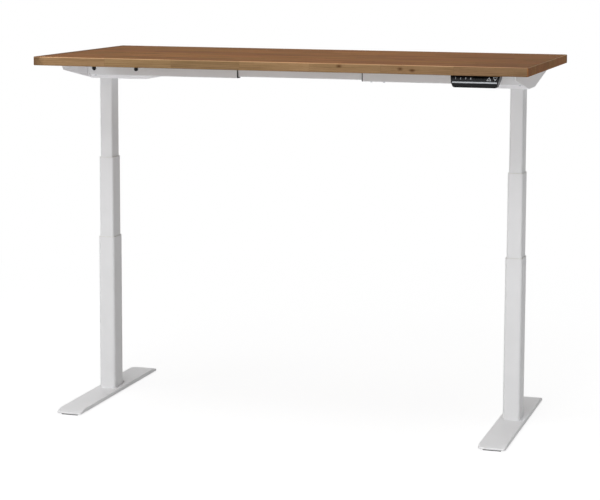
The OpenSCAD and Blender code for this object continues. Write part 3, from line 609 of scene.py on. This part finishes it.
# Name, colour, roughness and what differs from a plain finish. The grain is in millimetres, and
# coarser than the real one, so that it shows from a step away.
PLAIN_FINISHES = {
    # Moulded and bare: black, with a soft sheen and a fine texture
    "rubber": ("Moulded EPDM rubber", "#1B1B1C", 0.75, dict(grain=1.2)),
    # Zinc plating has a bluish shine with a crystalline mottle
    "zinc": ("Zinc-plated steel", "#B4B8BD", 0.34, dict(metallic=1.0, grain=2.0)),
    # Blackened steel shows worn, lightly oiled highlights
    "black_steel": ("Black-oxide steel", "#1A1A1C", 0.36, dict(metallic=0.7, grain=1.0)),
    # Acetal looks waxy, with next to no mottle
    "glide": ("Moulded acetal", "#E4E3DF", 0.42, dict(grain=1.0, spread=0.03)),
    # Turned and ground metal is bright, with fine rings round its axis
    "brass": ("Turned brass", "#B8934A", 0.28, dict(metallic=1.0, grain=0.8, stretch=(1, 1, 12))),
    "bright": ("Ground bright steel", "#C3C6C9", 0.2, dict(metallic=1.0, grain=0.8, stretch=(1, 1, 10))),
    # A casting keeps the rough, dull skin of its mould
    "cast": ("Die-cast aluminium", "#9A9DA0", 0.5, dict(metallic=1.0, strength=0.35)),
    # Sprayed enamel is even, with a medium shine
    "motor": ("Painted motor casing", "#5B6067", 0.4, dict(grain=1.0)),
    # Spark-eroded mould texture makes the box matt
    "control": ("Textured ABS", "#26272A", 0.62, dict(grain=1.2, strength=0.35)),
    # Nylon comes out of the mould nearly black and half dull
    "nylon": ("Moulded black nylon", "#101011", 0.5, dict(grain=1.0)),
    # The keypad is polished in the mould, so it mirrors the lamps
    "gloss": ("Polished black ABS", "#0B0B0D", 0.3,
              dict(grain=6.0, depth=0.00003, strength=0.08, Specular_IOR_Level=0.1)),
    # Brushing leaves long fine lines that spread the light
    "silver": ("Brushed aluminium strip", "#8E9093", 0.45,
               dict(metallic=1.0, grain=0.6, stretch=(0.05, 1, 1))),
    # Nearly black and smooth, so the display shows only when it is lit
    "smoke": ("Smoked acrylic", "#050607", 0.25,
              dict(grain=8.0, depth=0.00002, strength=0.05, Specular_IOR_Level=0.08)),
    # Printed ink lies flat and slightly dull on the polished keys
    "ink": ("Pad-printed ink", "#C9CCD0", 0.45, dict(grain=0.5, spread=0.04)),
}
finishes = {}


def finish(name):
    """A finish by its short name, made once."""
    if name not in finishes:
        board, steel = bpy.context.scene.desk_board, bpy.context.scene.desk_frame
        if name in OAK:
            dark, light = getattr(board, f"{name}_dark"), getattr(board, f"{name}_light")
            finishes[name] = stained_oak(OAK[name], dark, light, board)
        elif name in POWDER_COATS:
            finishes[name] = powder_coat(POWDER_COATS[name], getattr(steel, name))
        else:
            label, code, roughness, more = PLAIN_FINISHES[name]
            finishes[name] = plain_finish(label, code, roughness, **more)
    return finishes[name]


class DESK_OT_board(bpy.types.Operator):
    """Model the glued oak board with its rounded edges"""
    bl_idname = "desk.board"
    bl_label = "Desktop board"

    def execute(self, context):
        sizes = context.scene.desk_board
        low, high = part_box("desktop")
        board = block("desktop_board", low, high)
        bevel(along(2), sizes.corner, 8)
        bevel(at(2, low.z, high.z), sizes.arris, 3)
        leave_edit_mode()
        for name in OAK:
            board.data.materials.append(finish(name))
        face_slot, edge_slot, end_slot, arris_highlight_slot = range(4)
        # The rounded arris that faces up gets the lighter arris wood as a painted highlight
        for face in board.data.polygons:
            if abs(face.normal.z) > 0.95:
                face.material_index = face_slot
            elif face.normal.z > 0.2:
                face.material_index = arris_highlight_slot
            else:
                face.material_index = end_slot if abs(face.normal.x) > 0.4 else edge_slot
        finish_piece(board, "desk_top", None, ["desktop"])
        return {"FINISHED"}


class DESK_OT_feet(bpy.types.Operator):
    """Model the two pressed steel feet and their rubber pads"""
    bl_idname = "desk.feet"
    bl_label = "Feet and pads"

    def execute(self, context):
        sizes = context.scene.desk_frame
        for side in SIDES:
            low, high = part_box(f"{side}_foot")
            foot = block(f"{side}_foot_steel", low, high)
            for slope_start in (low.y + sizes.foot_slope, high.y - sizes.foot_slope):
                cut((0, slope_start, 0), (0, 1, 0), trim=False)
            pick("VERT", both(at(2, high.z), at(1, low.y, high.y)))
            move(0, 0, low.z + sizes.foot_nose - high.z)
            bevel(both(along(2), at(1, low.y, high.y)), sizes.foot_corner, 10)
            bevel(upper_outline, sizes.foot_fold, 5)
            seat_low, seat_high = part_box(f"{side}_outer_glide")
            # The steel stays solid at both ends and under the tube, where the bolts hold
            wall, room = sizes.foot_wall, sizes.foot_wall + 1 * MM
            for name, front, rear in (("front_hollow", low.y + sizes.foot_end, seat_low.y - room),
                                      ("rear_hollow", seat_high.y + room, high.y - sizes.foot_end)):
                carve(foot, block(name, (low.x + wall, front, 0), (high.x - wall, rear, high.z - wall)))
            finish_piece(foot, "base", "paint", [f"{side}_foot"])
            for end in ("front", "rear"):
                self.add_pad(f"{end}_{side}_pad")
        return {"FINISHED"}

    def add_pad(self, node):
        """A rubber pad with round corners and grooves in its sole."""
        corner, edge, grooves = 3 * MM, 0.7 * MM, 4
        low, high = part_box(node)
        pad = block(f"{node}_rubber", low, high)
        bevel(along(2), corner, 5)
        bevel(at(2, low.z, high.z), edge, 2)
        for groove in range(1, grooves + 1):
            y = low.y + (high.y - low.y) * groove / (grooves + 1)
            carve(pad, block("groove", (low.x - MM, y - MM, low.z - MM), (high.x + MM, y + MM, low.z + MM)))
        finish_piece(pad, "base", "rubber", [node])


class DESK_OT_columns(bpy.types.Operator):
    """Model the nested lifting tubes, their plastic glides and the wedges behind them"""
    bl_idname = "desk.columns"
    bl_label = "Lifting columns"

    def execute(self, context):
        sizes = context.scene.desk_frame
        corners = [sizes.tube_corner - number * sizes.corner_step for number in range(3)]
        rim_edge = 0.45 * MM
        for side in SIDES:
            middle = f"{side}_middle"
            rim_low, rim_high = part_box(f"{side}_outer_glide")
            tube_low, tube_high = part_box(f"{side}_outer_tube")
            outer = open_tube(f"{side}_outer_column", (rim_low.x, rim_low.y, tube_low.z),
                              (rim_high.x, rim_high.y, tube_high.z), 2, corners[0], sizes.tube_wall,
                              closed_below=True)
            finish_piece(outer, "base", "paint", [f"{side}_outer_tube"])
            self.add_heel(side, rim_low, rim_high, tube_low, tube_high, sizes)
            for stage, body, corner in (("middle", middle, corners[1]), ("inner", "desk_top", corners[2])):
                low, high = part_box(f"{side}_{stage}_tube")
                tube = open_tube(f"{side}_{stage}_column", low, high, 2, corner, sizes.tube_wall)
                finish_piece(tube, body, "paint", [f"{side}_{stage}_tube"])
            for stage, body, corner in (("outer", "base", corners[0]), ("middle", middle, corners[1])):
                low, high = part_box(f"{side}_{stage}_glide")
                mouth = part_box(f"{side}_{stage}_tube")[1].z
                rim = open_tube(f"{side}_{stage}_rim", (low.x, low.y, mouth), high, 2, corner,
                                sizes.glide_width, edge=rim_edge)
                finish_piece(rim, body, "glide", [f"{side}_{stage}_glide"])
        return {"FINISHED"}

    def add_heel(self, side, rim_low, rim_high, tube_low, tube_high, sizes):
        """The wedge that braces a tube on its foot."""
        edge, foot_top, heel_top = 1 * MM, tube_low.z, tube_low.z + sizes.heel_height
        heel = block(f"{side}_heel", (rim_low.x + sizes.tube_corner, rim_high.y, foot_top),
                     (rim_high.x - sizes.tube_corner, tube_high.y, heel_top))
        pick("VERT", both(at(2, heel_top), at(1, tube_high.y)))
        move(0, 0, sizes.heel_lip - sizes.heel_height)
        on_foot, on_tube = at(2, foot_top), at(1, rim_high.y)
        bevel(both(folded, lambda part: not on_foot(part) and not on_tube(part)), edge, 3)
        finish_piece(heel, "base", "paint")


class DESK_OT_heads(bpy.types.Operator):
    """Model the two folded boxes that hold the drives"""
    bl_idname = "desk.heads"
    bl_label = "Head boxes"

    def execute(self, context):
        sizes = context.scene.desk_frame
        low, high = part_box("right_head_box")
        right = block("right_head_sheet", low, high)
        bevel(both(at(0, low.x), at(2, low.z)), sizes.head_corner, 18)
        open_up(at(2, high.z))
        thicken(right, sizes.sheet)
        soften(right, sizes.press_fold, 3)
        finish_pair(right, "head_sheet", "head_box")
        return {"FINISHED"}


class DESK_OT_arms(bpy.types.Operator):
    """Model the pressed arms under the ends of the board"""
    bl_idname = "desk.arms"
    bl_label = "Side arms"

    def execute(self, context):
        sizes = context.scene.desk_frame
        fold, flange_corner, edge = 2 * MM, 8 * MM, 0.5 * MM
        low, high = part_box("right_side_arm")
        right = block("right_arm_sheet", (high.x - sizes.arm_sheet, low.y, low.z), high)
        level_y = ((low.y + high.y - sizes.arm_level) / 2, (low.y + high.y + sizes.arm_level) / 2)
        tip_z, end_z = high.z - sizes.arm_tip, high.z - sizes.arm_sheet
        for level, tip, end in ((level_y[0], low.y + sizes.arm_end_cut, low.y),
                                (level_y[1], high.y - sizes.arm_end_cut, high.y)):
            out = math.copysign(1, end - tip)
            # The long slope from the level edge to the tip, and the steep end beyond it
            cut((0, level, low.z), (0, out * (tip_z - low.z), -abs(tip - level)))
            cut((0, tip, tip_z), (0, out * (end_z - tip_z), -abs(end - tip)))
        cut((0, 0, end_z), (0, 0, 1), trim=False)
        # The flange is drawn inwards from the strip over the last cut
        pick("FACE", both(facing(-1, 0, 0), lambda face: face.calc_center_median().z > end_z))
        bpy.ops.mesh.extrude_region_move(
            TRANSFORM_OT_translate={"value": (low.x - high.x + sizes.arm_sheet, 0, 0)})
        bevel(both(along(1), at(0, high.x), at(2, high.z)), fold, 5)
        bevel(both(along(2), at(0, low.x)), flange_corner, 6)
        soften(right, edge)
        finish_pair(right, "arm_sheet", "side_arm")
        return {"FINISHED"}


class DESK_OT_rails(bpy.types.Operator):
    """Model the telescopic rails and the black liners in their mouths"""
    bl_idname = "desk.rails"
    bl_label = "Rails and liners"

    def execute(self, context):
        sizes = context.scene.desk_frame
        for name in ("left_front", "left_rear", "right_front", "right_rear", "front_centre", "rear_centre"):
            node = f"{name}_rail"
            low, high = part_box(node)
            rail = open_tube(f"{node}_tube", low, high, 0, sizes.rail_corner, sizes.rail_wall, segments=6)
            finish_piece(rail, "desk_top", "paint", [node])
        liners = [self.shape_liner(low, high, sizes) for low, high in solids("rail_liners")]
        finish_piece(joined("rail_mouth_liners", liners), "desk_top", "nylon",
                     ["rail_liners"])
        return {"FINISHED"}

    def shape_liner(self, low, high, sizes):
        """The rim of a liner on the mouth of its rail."""
        rim, width, edge = 3 * MM, 4.3 * MM, 0.5 * MM
        if low.x > 0:
            high = Vector((low.x + rim, high.y, high.z))
        else:
            low = Vector((high.x - rim, low.y, low.z))
        return open_tube("liner", low, high, 0, sizes.rail_corner, width, segments=6, edge=edge,
                         edge_segments=3)


class DESK_OT_fasteners(bpy.types.Operator):
    """Model the rail bolts, the set screws and the screws under the board"""
    bl_idname = "desk.fasteners"
    bl_label = "Bolts and screws"

    def execute(self, context):
        self.add_rail_bolts()
        self.add_set_screws()
        self.add_board_screws()
        return {"FINISHED"}

    def place_copies(self, pattern, name, node, places, look):
        """One piece made of copies of a pattern, one at each place, instead of a node."""
        copies = [copied(pattern, "copy", place) for place in places]
        bpy.data.objects.remove(pattern)
        finish_piece(joined(name, copies), "desk_top", look, [node])

    def lower_ends(self, node):
        """Where the upright screws of a node begin, at the middle of their lower ends."""
        return [Matrix.Translation(((low.x + high.x) / 2, (low.y + high.y) / 2, low.z))
                for low, high in solids(node)]

    def add_rail_bolts(self):
        """Black button-head bolts with a hexagon socket, heads outwards on each rail."""
        head_height, head_radius, dome, socket_radius = 3.5 * MM, 6.8 * MM, 2.4 * MM, 2.6 * MM
        pattern = rod("bolt", (0, 0, 0), (0, -head_height, 0), head_radius, 40)
        bevel(both(at(1, -head_height), folded), dome, 6)
        carve(pattern, rod("socket", (0, -head_height * 2, 0), (0, -head_height * 0.4, 0), socket_radius, 6))
        head_low, head_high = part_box("left_head_box")
        middle = (head_low.y + head_high.y) / 2
        places = []
        for low, high in solids("rail_bolts"):
            front = (low.y + high.y) / 2 < middle
            y = low.y + head_height if front else high.y - head_height
            place = Matrix.Translation(((low.x + high.x) / 2, y, (low.z + high.z) / 2))
            places.append(place if front else place @ Matrix.Rotation(math.pi, 4, "Z"))
        self.place_copies(pattern, "rail_bolt_heads", "rail_bolts", places, "black_steel")

    def add_set_screws(self):
        """Headless screws with a hexagon socket, standing a little below each outer rail."""
        node, edge, socket_depth = "rail_set_screws", 0.5 * MM, 2 * MM
        low, high = solids(node)[0]
        radius = (high.x - low.x) / 2
        pattern = rod("screw", (0, 0, 0), (0, 0, high.z - low.z), radius)
        bevel(both(at(2, 0), folded), edge, 2)
        carve(pattern, rod("socket", (0, 0, -MM), (0, 0, socket_depth), radius * 0.5, 6))
        self.place_copies(pattern, "set_screws", node, self.lower_ends(node), "zinc")

    def add_board_screws(self):
        """Pan-head wood screws with a cross recess, driven up into the board."""
        node, head_radius, head_height, pan = "desktop_screws", 4.8 * MM, 3 * MM, 1.6 * MM
        shank_radius, point, bar, half_bar, recess = 2.5 * MM, 1.8 * MM, 2.4 * MM, 0.4 * MM, 1.6 * MM
        low, high = solids(node)[0]
        height = high.z - low.z
        pattern = rod("head", (0, 0, 0), (0, 0, head_height), head_radius)
        bevel(both(at(2, 0), folded), pan, 5)
        for x, y in ((bar, half_bar), (half_bar, bar)):
            carve(pattern, block("slot", (-x, -y, -MM), (x, y, recess)))
        shank = rod("shank", (0, 0, head_height * 0.5), (0, 0, height), shank_radius, 20)
        bevel(both(at(2, height), folded), point, 2)
        self.place_copies(joined("screw", [pattern, shank]), "board_screws", node,
                          self.lower_ends(node), "zinc")


class DESK_OT_control_box(bpy.types.Operator):
    """Model the control box with its sockets, vents and ears"""
    bl_idname = "desk.control_box"
    bl_label = "Control box"

    def execute(self, context):
        corner, lower_edge, edge = 5 * MM, 1.5 * MM, 0.3 * MM
        ear_width, ear_depth, ear_height, ear_corner, ear_hole = 16 * MM, 30 * MM, 3 * MM, 5 * MM, 2.7 * MM
        socket_width, socket_height, socket_depth = 15 * MM, 10 * MM, 9 * MM
        vents, vent_width, vent_length, vent_depth = 9, 4 * MM, 48 * MM, 1.2 * MM
        low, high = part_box("control_box")
        middle_y, middle_z = (low.y + high.y) / 2, (low.z + high.z) / 2
        body_low = Vector((low.x + ear_width, low.y, low.z))
        body_high = Vector((high.x - ear_width, high.y, high.z))
        case = block("control_case", body_low, body_high)
        bevel(along(2), corner, 8)
        bevel(at(2, low.z), lower_edge, 4)
        for from_middle in (-30 * MM, -10 * MM, 10 * MM):
            y = middle_y + from_middle
            carve(case, block("socket",
                              (body_low.x - MM, y - socket_width / 2, middle_z - socket_height / 2),
                              (body_low.x + socket_depth, y + socket_width / 2,
                               middle_z + socket_height / 2)))
        inlet_low, inlet_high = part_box("mains_inlet")
        gap = 0.1 * MM
        carve(case, block("inlet", inlet_low - Vector((gap, gap, gap)), inlet_high + Vector((MM, gap, gap))))
        for vent in range(vents):
            # The vents lie beside each other along the middle of the box
            x = body_low.x + (body_high.x - body_low.x) * (0.3 + 0.05 * vent)
            carve(case, block("vent", (x - vent_width / 2, middle_y - vent_length / 2, low.z - MM),
                              (x + vent_width / 2, middle_y + vent_length / 2, low.z + vent_depth)))
        ears = [case]
        for inner, outer in ((body_low.x, low.x), (body_high.x, high.x)):
            left, right = sorted((inner, outer))
            ear = block("ear", (left, middle_y - ear_depth / 2, high.z - ear_height),
                        (right, middle_y + ear_depth / 2, high.z))
            bevel(both(along(2), at(0, outer)), ear_corner, 6)
            x = (inner + outer) / 2
            carve(ear, rod("hole", (x, middle_y, high.z - 2 * ear_height),
                           (x, middle_y, high.z + ear_height), ear_hole))
            ears.append(ear)
        case = joined("control_case", ears)
        soften(case, edge)
        finish_piece(case, "desk_top", "control", ["control_box"])
        return {"FINISHED"}


def panel_frame(sizes):
    """Where the sloping key panel is: +X along the desk, +Y up the panel and +Z out of it."""
    low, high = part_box("keypad_shell")
    tilt = math.pi / 2 - math.atan2(sizes.panel_lean, sizes.panel_height)
    middle = Vector(((low.x + high.x) / 2, low.y + sizes.panel_lean / 2, high.z - sizes.panel_height / 2))
    return Matrix.Translation(middle) @ Matrix.Rotation(tilt, 4, "X")


def panel_block(name, x, width, height, low, high, corner):
    """A rounded block on the key panel between two heights above it, open in edit mode."""
    piece = block(name, (x - width / 2, -height / 2, low), (x + width / 2, height / 2, high))
    bevel(along(2), corner, 5)
    return piece


def on_panel(piece, sizes):
    """Puts a piece that was made flat onto the key panel."""
    activate(piece)
    piece.matrix_world = panel_frame(sizes) @ piece.matrix_world
    return apply_place()


def panel_window(node, sizes, spare):
    """The middle of a key or display along the panel, and its width with some to spare."""
    low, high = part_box(node)
    return (low.x + high.x) / 2 - panel_frame(sizes).translation.x, high.x - low.x + spare


def key_window(node, sizes):
    """The middle of a key along the panel and the width of its window, without its flanges."""
    flange = 0.4 * MM
    return panel_window(node, sizes, -2 * flange)


class DESK_OT_keypad(bpy.types.Operator):
    """Model the keypad's moulded shell, its silver strip and its display window"""
    bl_idname = "desk.keypad"
    bl_label = "Keypad"

    def execute(self, context):
        sizes = context.scene.desk_keypad
        low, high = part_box("keypad_shell")
        shell = self.shape_case(low, high, sizes)
        strip_low, strip_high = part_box("keypad_strip")
        gap = Vector((0.1 * MM, 0.1 * MM, 0.1 * MM))
        screen_spare, below_cap, well_radius, well_roof = 0.2 * MM, 0.6 * MM, 5.2 * MM, 3 * MM
        carve(shell, block("groove", strip_low - gap - Vector((MM, MM, 0)),
                           strip_high + gap + Vector((MM, 0, 0))))
        screen_x, screen_width = panel_window("keypad_display", sizes, screen_spare)
        for x, width in [key_window(node, sizes) for node in KEYS] + [(screen_x, screen_width)]:
            carve(shell, on_panel(panel_block("window", x, width, sizes.key_height,
                                              -sizes.key_depth - below_cap, 2 * MM, sizes.key_corner), sizes))
        for screw_low, screw_high in solids("desktop_screws"):
            if screw_low.x > low.x and screw_high.x < high.x and screw_low.y < high.y:
                x, y = (screw_low.x + screw_high.x) / 2, (screw_low.y + screw_high.y) / 2
                carve(shell, rod("well", (x, y, low.z - MM), (x, y, high.z - well_roof), well_radius))
        finish_piece(shell, "desk_top", "gloss", ["keypad_shell"], smooth=30)
        self.add_strip(strip_low, strip_high)
        self.add_screen(screen_x, screen_width, sizes)
        return {"FINISHED"}

    def shape_case(self, low, high, sizes):
        """The outside of the shell."""
        middle, half_width = (low.x + high.x) / 2, (high.x - low.x) / 2
        shell = block("keypad_case", low, high)
        # The sloping panel, the chin under it, and the floor that rises to the back
        cut((0, low.y, high.z - sizes.panel_height), (0, -sizes.panel_height, sizes.panel_lean))
        cut((0, low.y, low.z + sizes.chin), (0, -sizes.chin, -sizes.chin_depth))
        back_rise = high.z - sizes.back - low.z
        cut((0, low.y + sizes.floor, low.z), (0, back_rise, -(high.y - low.y - sizes.floor)))
        # The sides lean so that they run into the round corners
        run, rise = sizes.taper + sizes.corner, high.z - low.z - sizes.corner
        slant = math.atan2(rise, run) - math.acos(sizes.corner / math.hypot(run, rise))
        for way in (-1, 1):
            cut((middle + way * half_width, 0, high.z), (way * math.cos(slant), 0, math.sin(slant)))
        near_side = half_width - sizes.taper - 2 * sizes.corner

        def lower_side(edge):
            """An edge that runs front to back between a side and the underside."""
            normals = [face.normal for face in edge.link_faces]
            return (all(abs(corner.co.x - middle) > near_side for corner in edge.verts)
                    and abs(way_of(edge).x) < 0.5 and any(normal.z < -0.5 for normal in normals)
                    and any(abs(normal.x) > 0.5 for normal in normals))

        # The bevel starts a tangent's length from the edge
        bevel(lower_side, sizes.corner * math.tan((math.pi / 2 + slant) / 2), 10)
        soften(shell, sizes.edge, 3)
        return shell

    def add_strip(self, low, high):
        """The thin silver strip under the keys."""
        edge = 0.35 * MM
        strip = block("keypad_silver_strip", low, high)
        bevel(at(1, low.y), edge, 3)
        finish_piece(strip, "desk_top", "silver", ["keypad_strip"])

    def add_screen(self, x, width, sizes):
        """The smoked window over the display."""
        gap, depth, edge = 0.1 * MM, 1.5 * MM, 0.2 * MM
        screen = on_panel(panel_block("keypad_screen", x, width - 2 * gap, sizes.key_height - 2 * gap,
                                      -depth, -gap, sizes.key_corner), sizes)
        soften(screen, edge)
        finish_piece(screen, "desk_top", "smoke", ["keypad_display"])


class DESK_OT_keys(bpy.types.Operator):
    """Model the six keys with their printed marks"""
    bl_idname = "desk.keys"
    bl_label = "Keys"

    def execute(self, context):
        sizes = context.scene.desk_keypad
        cap_edge = 0.3 * MM
        for node in KEYS:
            x, width = key_window(node, sizes)
            key = panel_block(f"{node}_cap", x, width - 2 * sizes.key_gap,
                              sizes.key_height - 2 * sizes.key_gap,
                              sizes.key_proud - sizes.key_depth, sizes.key_proud,
                              sizes.key_corner - sizes.key_gap)
            bevel(at(2, sizes.key_proud), cap_edge, 3)
            finish_piece(on_panel(key, sizes), node, "gloss", [node])
            if node.startswith("memory"):
                mark = self.figure(node[-1], x, sizes)
            else:
                mark = self.triangle(node.startswith("up"), x, sizes)
            mark.name = f"{node}_mark"
            finish_piece(on_panel(mark, sizes), node, "ink")
        return {"FINISHED"}

    def figure(self, text, x, sizes):
        """A printed figure, 0.04 mm thick, on top of a key."""
        leave_edit_mode()
        bpy.ops.object.text_add(location=(x, 0, sizes.key_proud + 0.01 * MM))
        mark = bpy.context.object.data
        mark.body = text
        # A figure is as high as its text size over 1.4
        mark.size = sizes.mark_height * 1.4
        mark.extrude = 0.02 * MM
        mark.offset = 0.1 * MM
        mark.align_x, mark.align_y = "CENTER", "CENTER"
        bpy.ops.object.convert(target="MESH")
        return bpy.context.object

    def triangle(self, up, x, sizes):
        """A printed outline of a triangle that points up or down."""
        leave_edit_mode()
        # A three-sided circle of radius 1 is 1.732 wide and 1.5 high, and its middle is 0.25 up
        wide, tall = sizes.triangle_width / math.sqrt(3), sizes.triangle_height / 1.5
        way = 1 if up else -1
        bpy.ops.mesh.primitive_circle_add(vertices=3, radius=wide, fill_type="NGON",
                                          location=(x, -0.25 * tall * way, sizes.key_proud + 0.01 * MM),
                                          rotation=(0, 0, 0 if up else math.pi))
        bpy.context.object.scale.y = tall / wide
        mark = settle("triangle")
        pick("FACE", lambda face: True)
        bpy.ops.mesh.inset(thickness=sizes.triangle_line)
        bpy.ops.mesh.delete(type="FACE")
        modify(mark, "SOLIDIFY", thickness=0.04 * MM, offset=1)
        return mark


class DESK_OT_inner_parts(bpy.types.Operator):
    """Give the drives, spindles and hidden hardware their finishes"""
    bl_idname = "desk.inner_parts"
    bl_label = "Inner parts"

    def execute(self, context):
        inner = {"foot_bolts": "zinc", "mains_inlet": "nylon"}
        for part, name in (("push_tube", "bright"), ("base_nut", "brass"), ("carrier_tube", "bright"),
                           ("carrier_nut", "brass"), ("lower_screw", "bright"),
                           ("upper_screw", "bright"), ("gearbox", "cast"), ("motor", "motor")):
            for side in SIDES:
                inner[f"{side}_{part}"] = name
        for node, name in inner.items():
            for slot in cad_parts[node].material_slots:
                slot.material = finish(name)
        return {"FINISHED"}


class DESK_OT_stage(bpy.types.Operator):
    """Set up the pale floor, the soft light and the camera"""
    bl_idname = "desk.stage"
    bl_label = "Floor, light and camera"

    def execute(self, context):
        scene, sizes = context.scene, context.scene.desk_stage
        self.add_floor(sizes)
        self.add_world(scene, sizes)
        for name, place, width, watts in (
                ("left_lamp", (-2.6, -3.2, 3.2), 2.6, sizes.left_power),
                # High up, so that the board shades the feet only a little
                ("overhead_lamp", (0, -1.5, 12.0), 10.0, sizes.top_power),
                ("front_lamp", (0.5, -5.0, 1.6), 2.5, sizes.front_power),
                ("upper_front_lamp", (0, -5.0, 6.0), 4.0, sizes.upper_power)):
            self.add_lamp(scene, name, place, width, watts)
        self.add_camera(scene, sizes)
        scene.view_settings.view_transform = "Standard"
        return {"FINISHED"}

    def seen_by_eye(self, add):
        """1 for a camera ray and for what glossy or clear surfaces show, 0 for light."""
        path = add("LightPath").outputs
        shown = add("Math", {0: path["Is Camera Ray"], 1: path["Is Glossy Ray"]}, operation="MAXIMUM")
        return add("Math", {0: shown, 1: path["Is Transmission Ray"]}, operation="MAXIMUM")

    def add_floor(self, sizes):
        """A matt white floor that looks white to the camera and keeps the desk's shadow."""
        leave_edit_mode()
        bpy.ops.mesh.primitive_plane_add(size=sizes.floor_size, location=(0, 0, 0))
        floor = bpy.context.object
        floor.name = "floor"
        material = bpy.data.materials.new("Matt white floor")
        material.use_nodes = True
        material.node_tree.nodes.clear()
        add = partial(add_node, material.node_tree)
        matt = add("BsdfDiffuse", {"Color": (0.8, 0.8, 0.8, 1)})
        shade = add("BsdfDiffuse", {"Color": (0.25, 0.25, 0.25, 1)})
        glow = add("Emission", {"Color": WHITE, "Strength": 0.85})
        near = add("AddShader", {0: shade, 1: glow})
        # Past the desk's shadow the floor runs out to plain white
        far = add("Emission", {"Color": WHITE, "Strength": 1.0})
        distance = add("VectorMath", {0: add("TexCoord").outputs["Object"]}, operation="LENGTH")
        fade = add("MapRange", {"Value": distance, "From Min": 1.0, "From Max": 3.0})
        shown = add("MixShader", {0: fade, 1: near, 2: far})
        surface = add("MixShader", {0: self.seen_by_eye(add), 1: matt, 2: shown})
        add("OutputMaterial", {"Surface": surface})
        floor.data.materials.append(material)

    def add_world(self, scene, sizes):
        """Even light from all round, and a plain white background."""
        world = bpy.data.worlds.new("Even light")
        world.use_nodes = True
        world.node_tree.nodes.clear()
        add = partial(add_node, world.node_tree)
        light = add("Background", {"Color": WHITE, "Strength": sizes.world_light})
        white = add("Background", {"Color": WHITE, "Strength": 1.0})
        mixed = add("MixShader", {0: self.seen_by_eye(add), 1: light, 2: white})
        add("OutputWorld", {"Surface": mixed})
        scene.world = world

    def add_lamp(self, scene, name, place, width, watts):
        """A round soft lamp that shines on the middle of the desk."""
        lamp = bpy.data.lights.new(name, "AREA")
        lamp.shape = "DISK"
        lamp.size = width
        lamp.energy = watts
        holder = bpy.data.objects.new(name, lamp)
        holder.location = place
        holder.rotation_euler = (Vector((0, 0, 0.6)) - holder.location).to_track_quat("-Z", "Y").to_euler()
        scene.collection.objects.link(holder)

    def add_camera(self, scene, sizes):
        """The camera where the photograph was taken from, with its upright lens shift."""
        lens = bpy.data.cameras.new("camera")
        lens.lens = sizes.lens
        lens.sensor_width = 36.0
        lens.shift_y = sizes.shift
        lens.clip_end = 100.0
        camera = bpy.data.objects.new("camera", lens)
        turn = (Matrix.Rotation(sizes.azimuth, 4, "Z")
                @ Matrix.Rotation(math.pi / 2 - sizes.elevation, 4, "X")
                @ Matrix.Rotation(sizes.roll, 4, "Z"))
        camera.matrix_world = Matrix.Translation(sizes.camera_place) @ turn
        scene.collection.objects.link(camera)
        scene.camera = camera


PIECES = (DESK_OT_board, DESK_OT_feet, DESK_OT_columns, DESK_OT_heads, DESK_OT_arms, DESK_OT_rails,
          DESK_OT_fasteners, DESK_OT_control_box, DESK_OT_keypad, DESK_OT_keys, DESK_OT_inner_parts,
          DESK_OT_stage)
GROUPS = {"desk_board": DESK_PG_board, "desk_frame": DESK_PG_frame, "desk_keypad": DESK_PG_keypad,
          "desk_stage": DESK_PG_stage}


class DESK_PT_pieces(bpy.types.Panel):
    """The desk's pieces, one button each"""
    bl_label = "Height-adjustable desk"
    bl_idname = "DESK_PT_pieces"
    bl_space_type = "VIEW_3D"
    bl_region_type = "UI"
    bl_category = "Desk"

    def draw(self, context):
        for piece in PIECES:
            self.layout.operator(piece.bl_idname)
        for group in GROUPS:
            settings = getattr(context.scene, group)
            box = self.layout.box()
            for name in settings.__annotations__:
                box.prop(settings, name)


def register():
    for item in (*GROUPS.values(), *PIECES, DESK_PT_pieces):
        bpy.utils.register_class(item)
    for name, group in GROUPS.items():
        setattr(bpy.types.Scene, name, PointerProperty(type=group))


def unregister():
    for name in GROUPS:
        delattr(bpy.types.Scene, name)
    for item in reversed((*GROUPS.values(), *PIECES, DESK_PT_pieces)):
        bpy.utils.unregister_class(item)


def main():
    register()
    bpy.ops.desk.board()
    bpy.ops.desk.feet()
    bpy.ops.desk.columns()
    bpy.ops.desk.heads()
    bpy.ops.desk.arms()
    bpy.ops.desk.rails()
    bpy.ops.desk.fasteners()
    bpy.ops.desk.control_box()
    bpy.ops.desk.keypad()
    bpy.ops.desk.keys()
    bpy.ops.desk.inner_parts()
    bpy.ops.desk.stage()


if __name__ == "__main__":
    main()
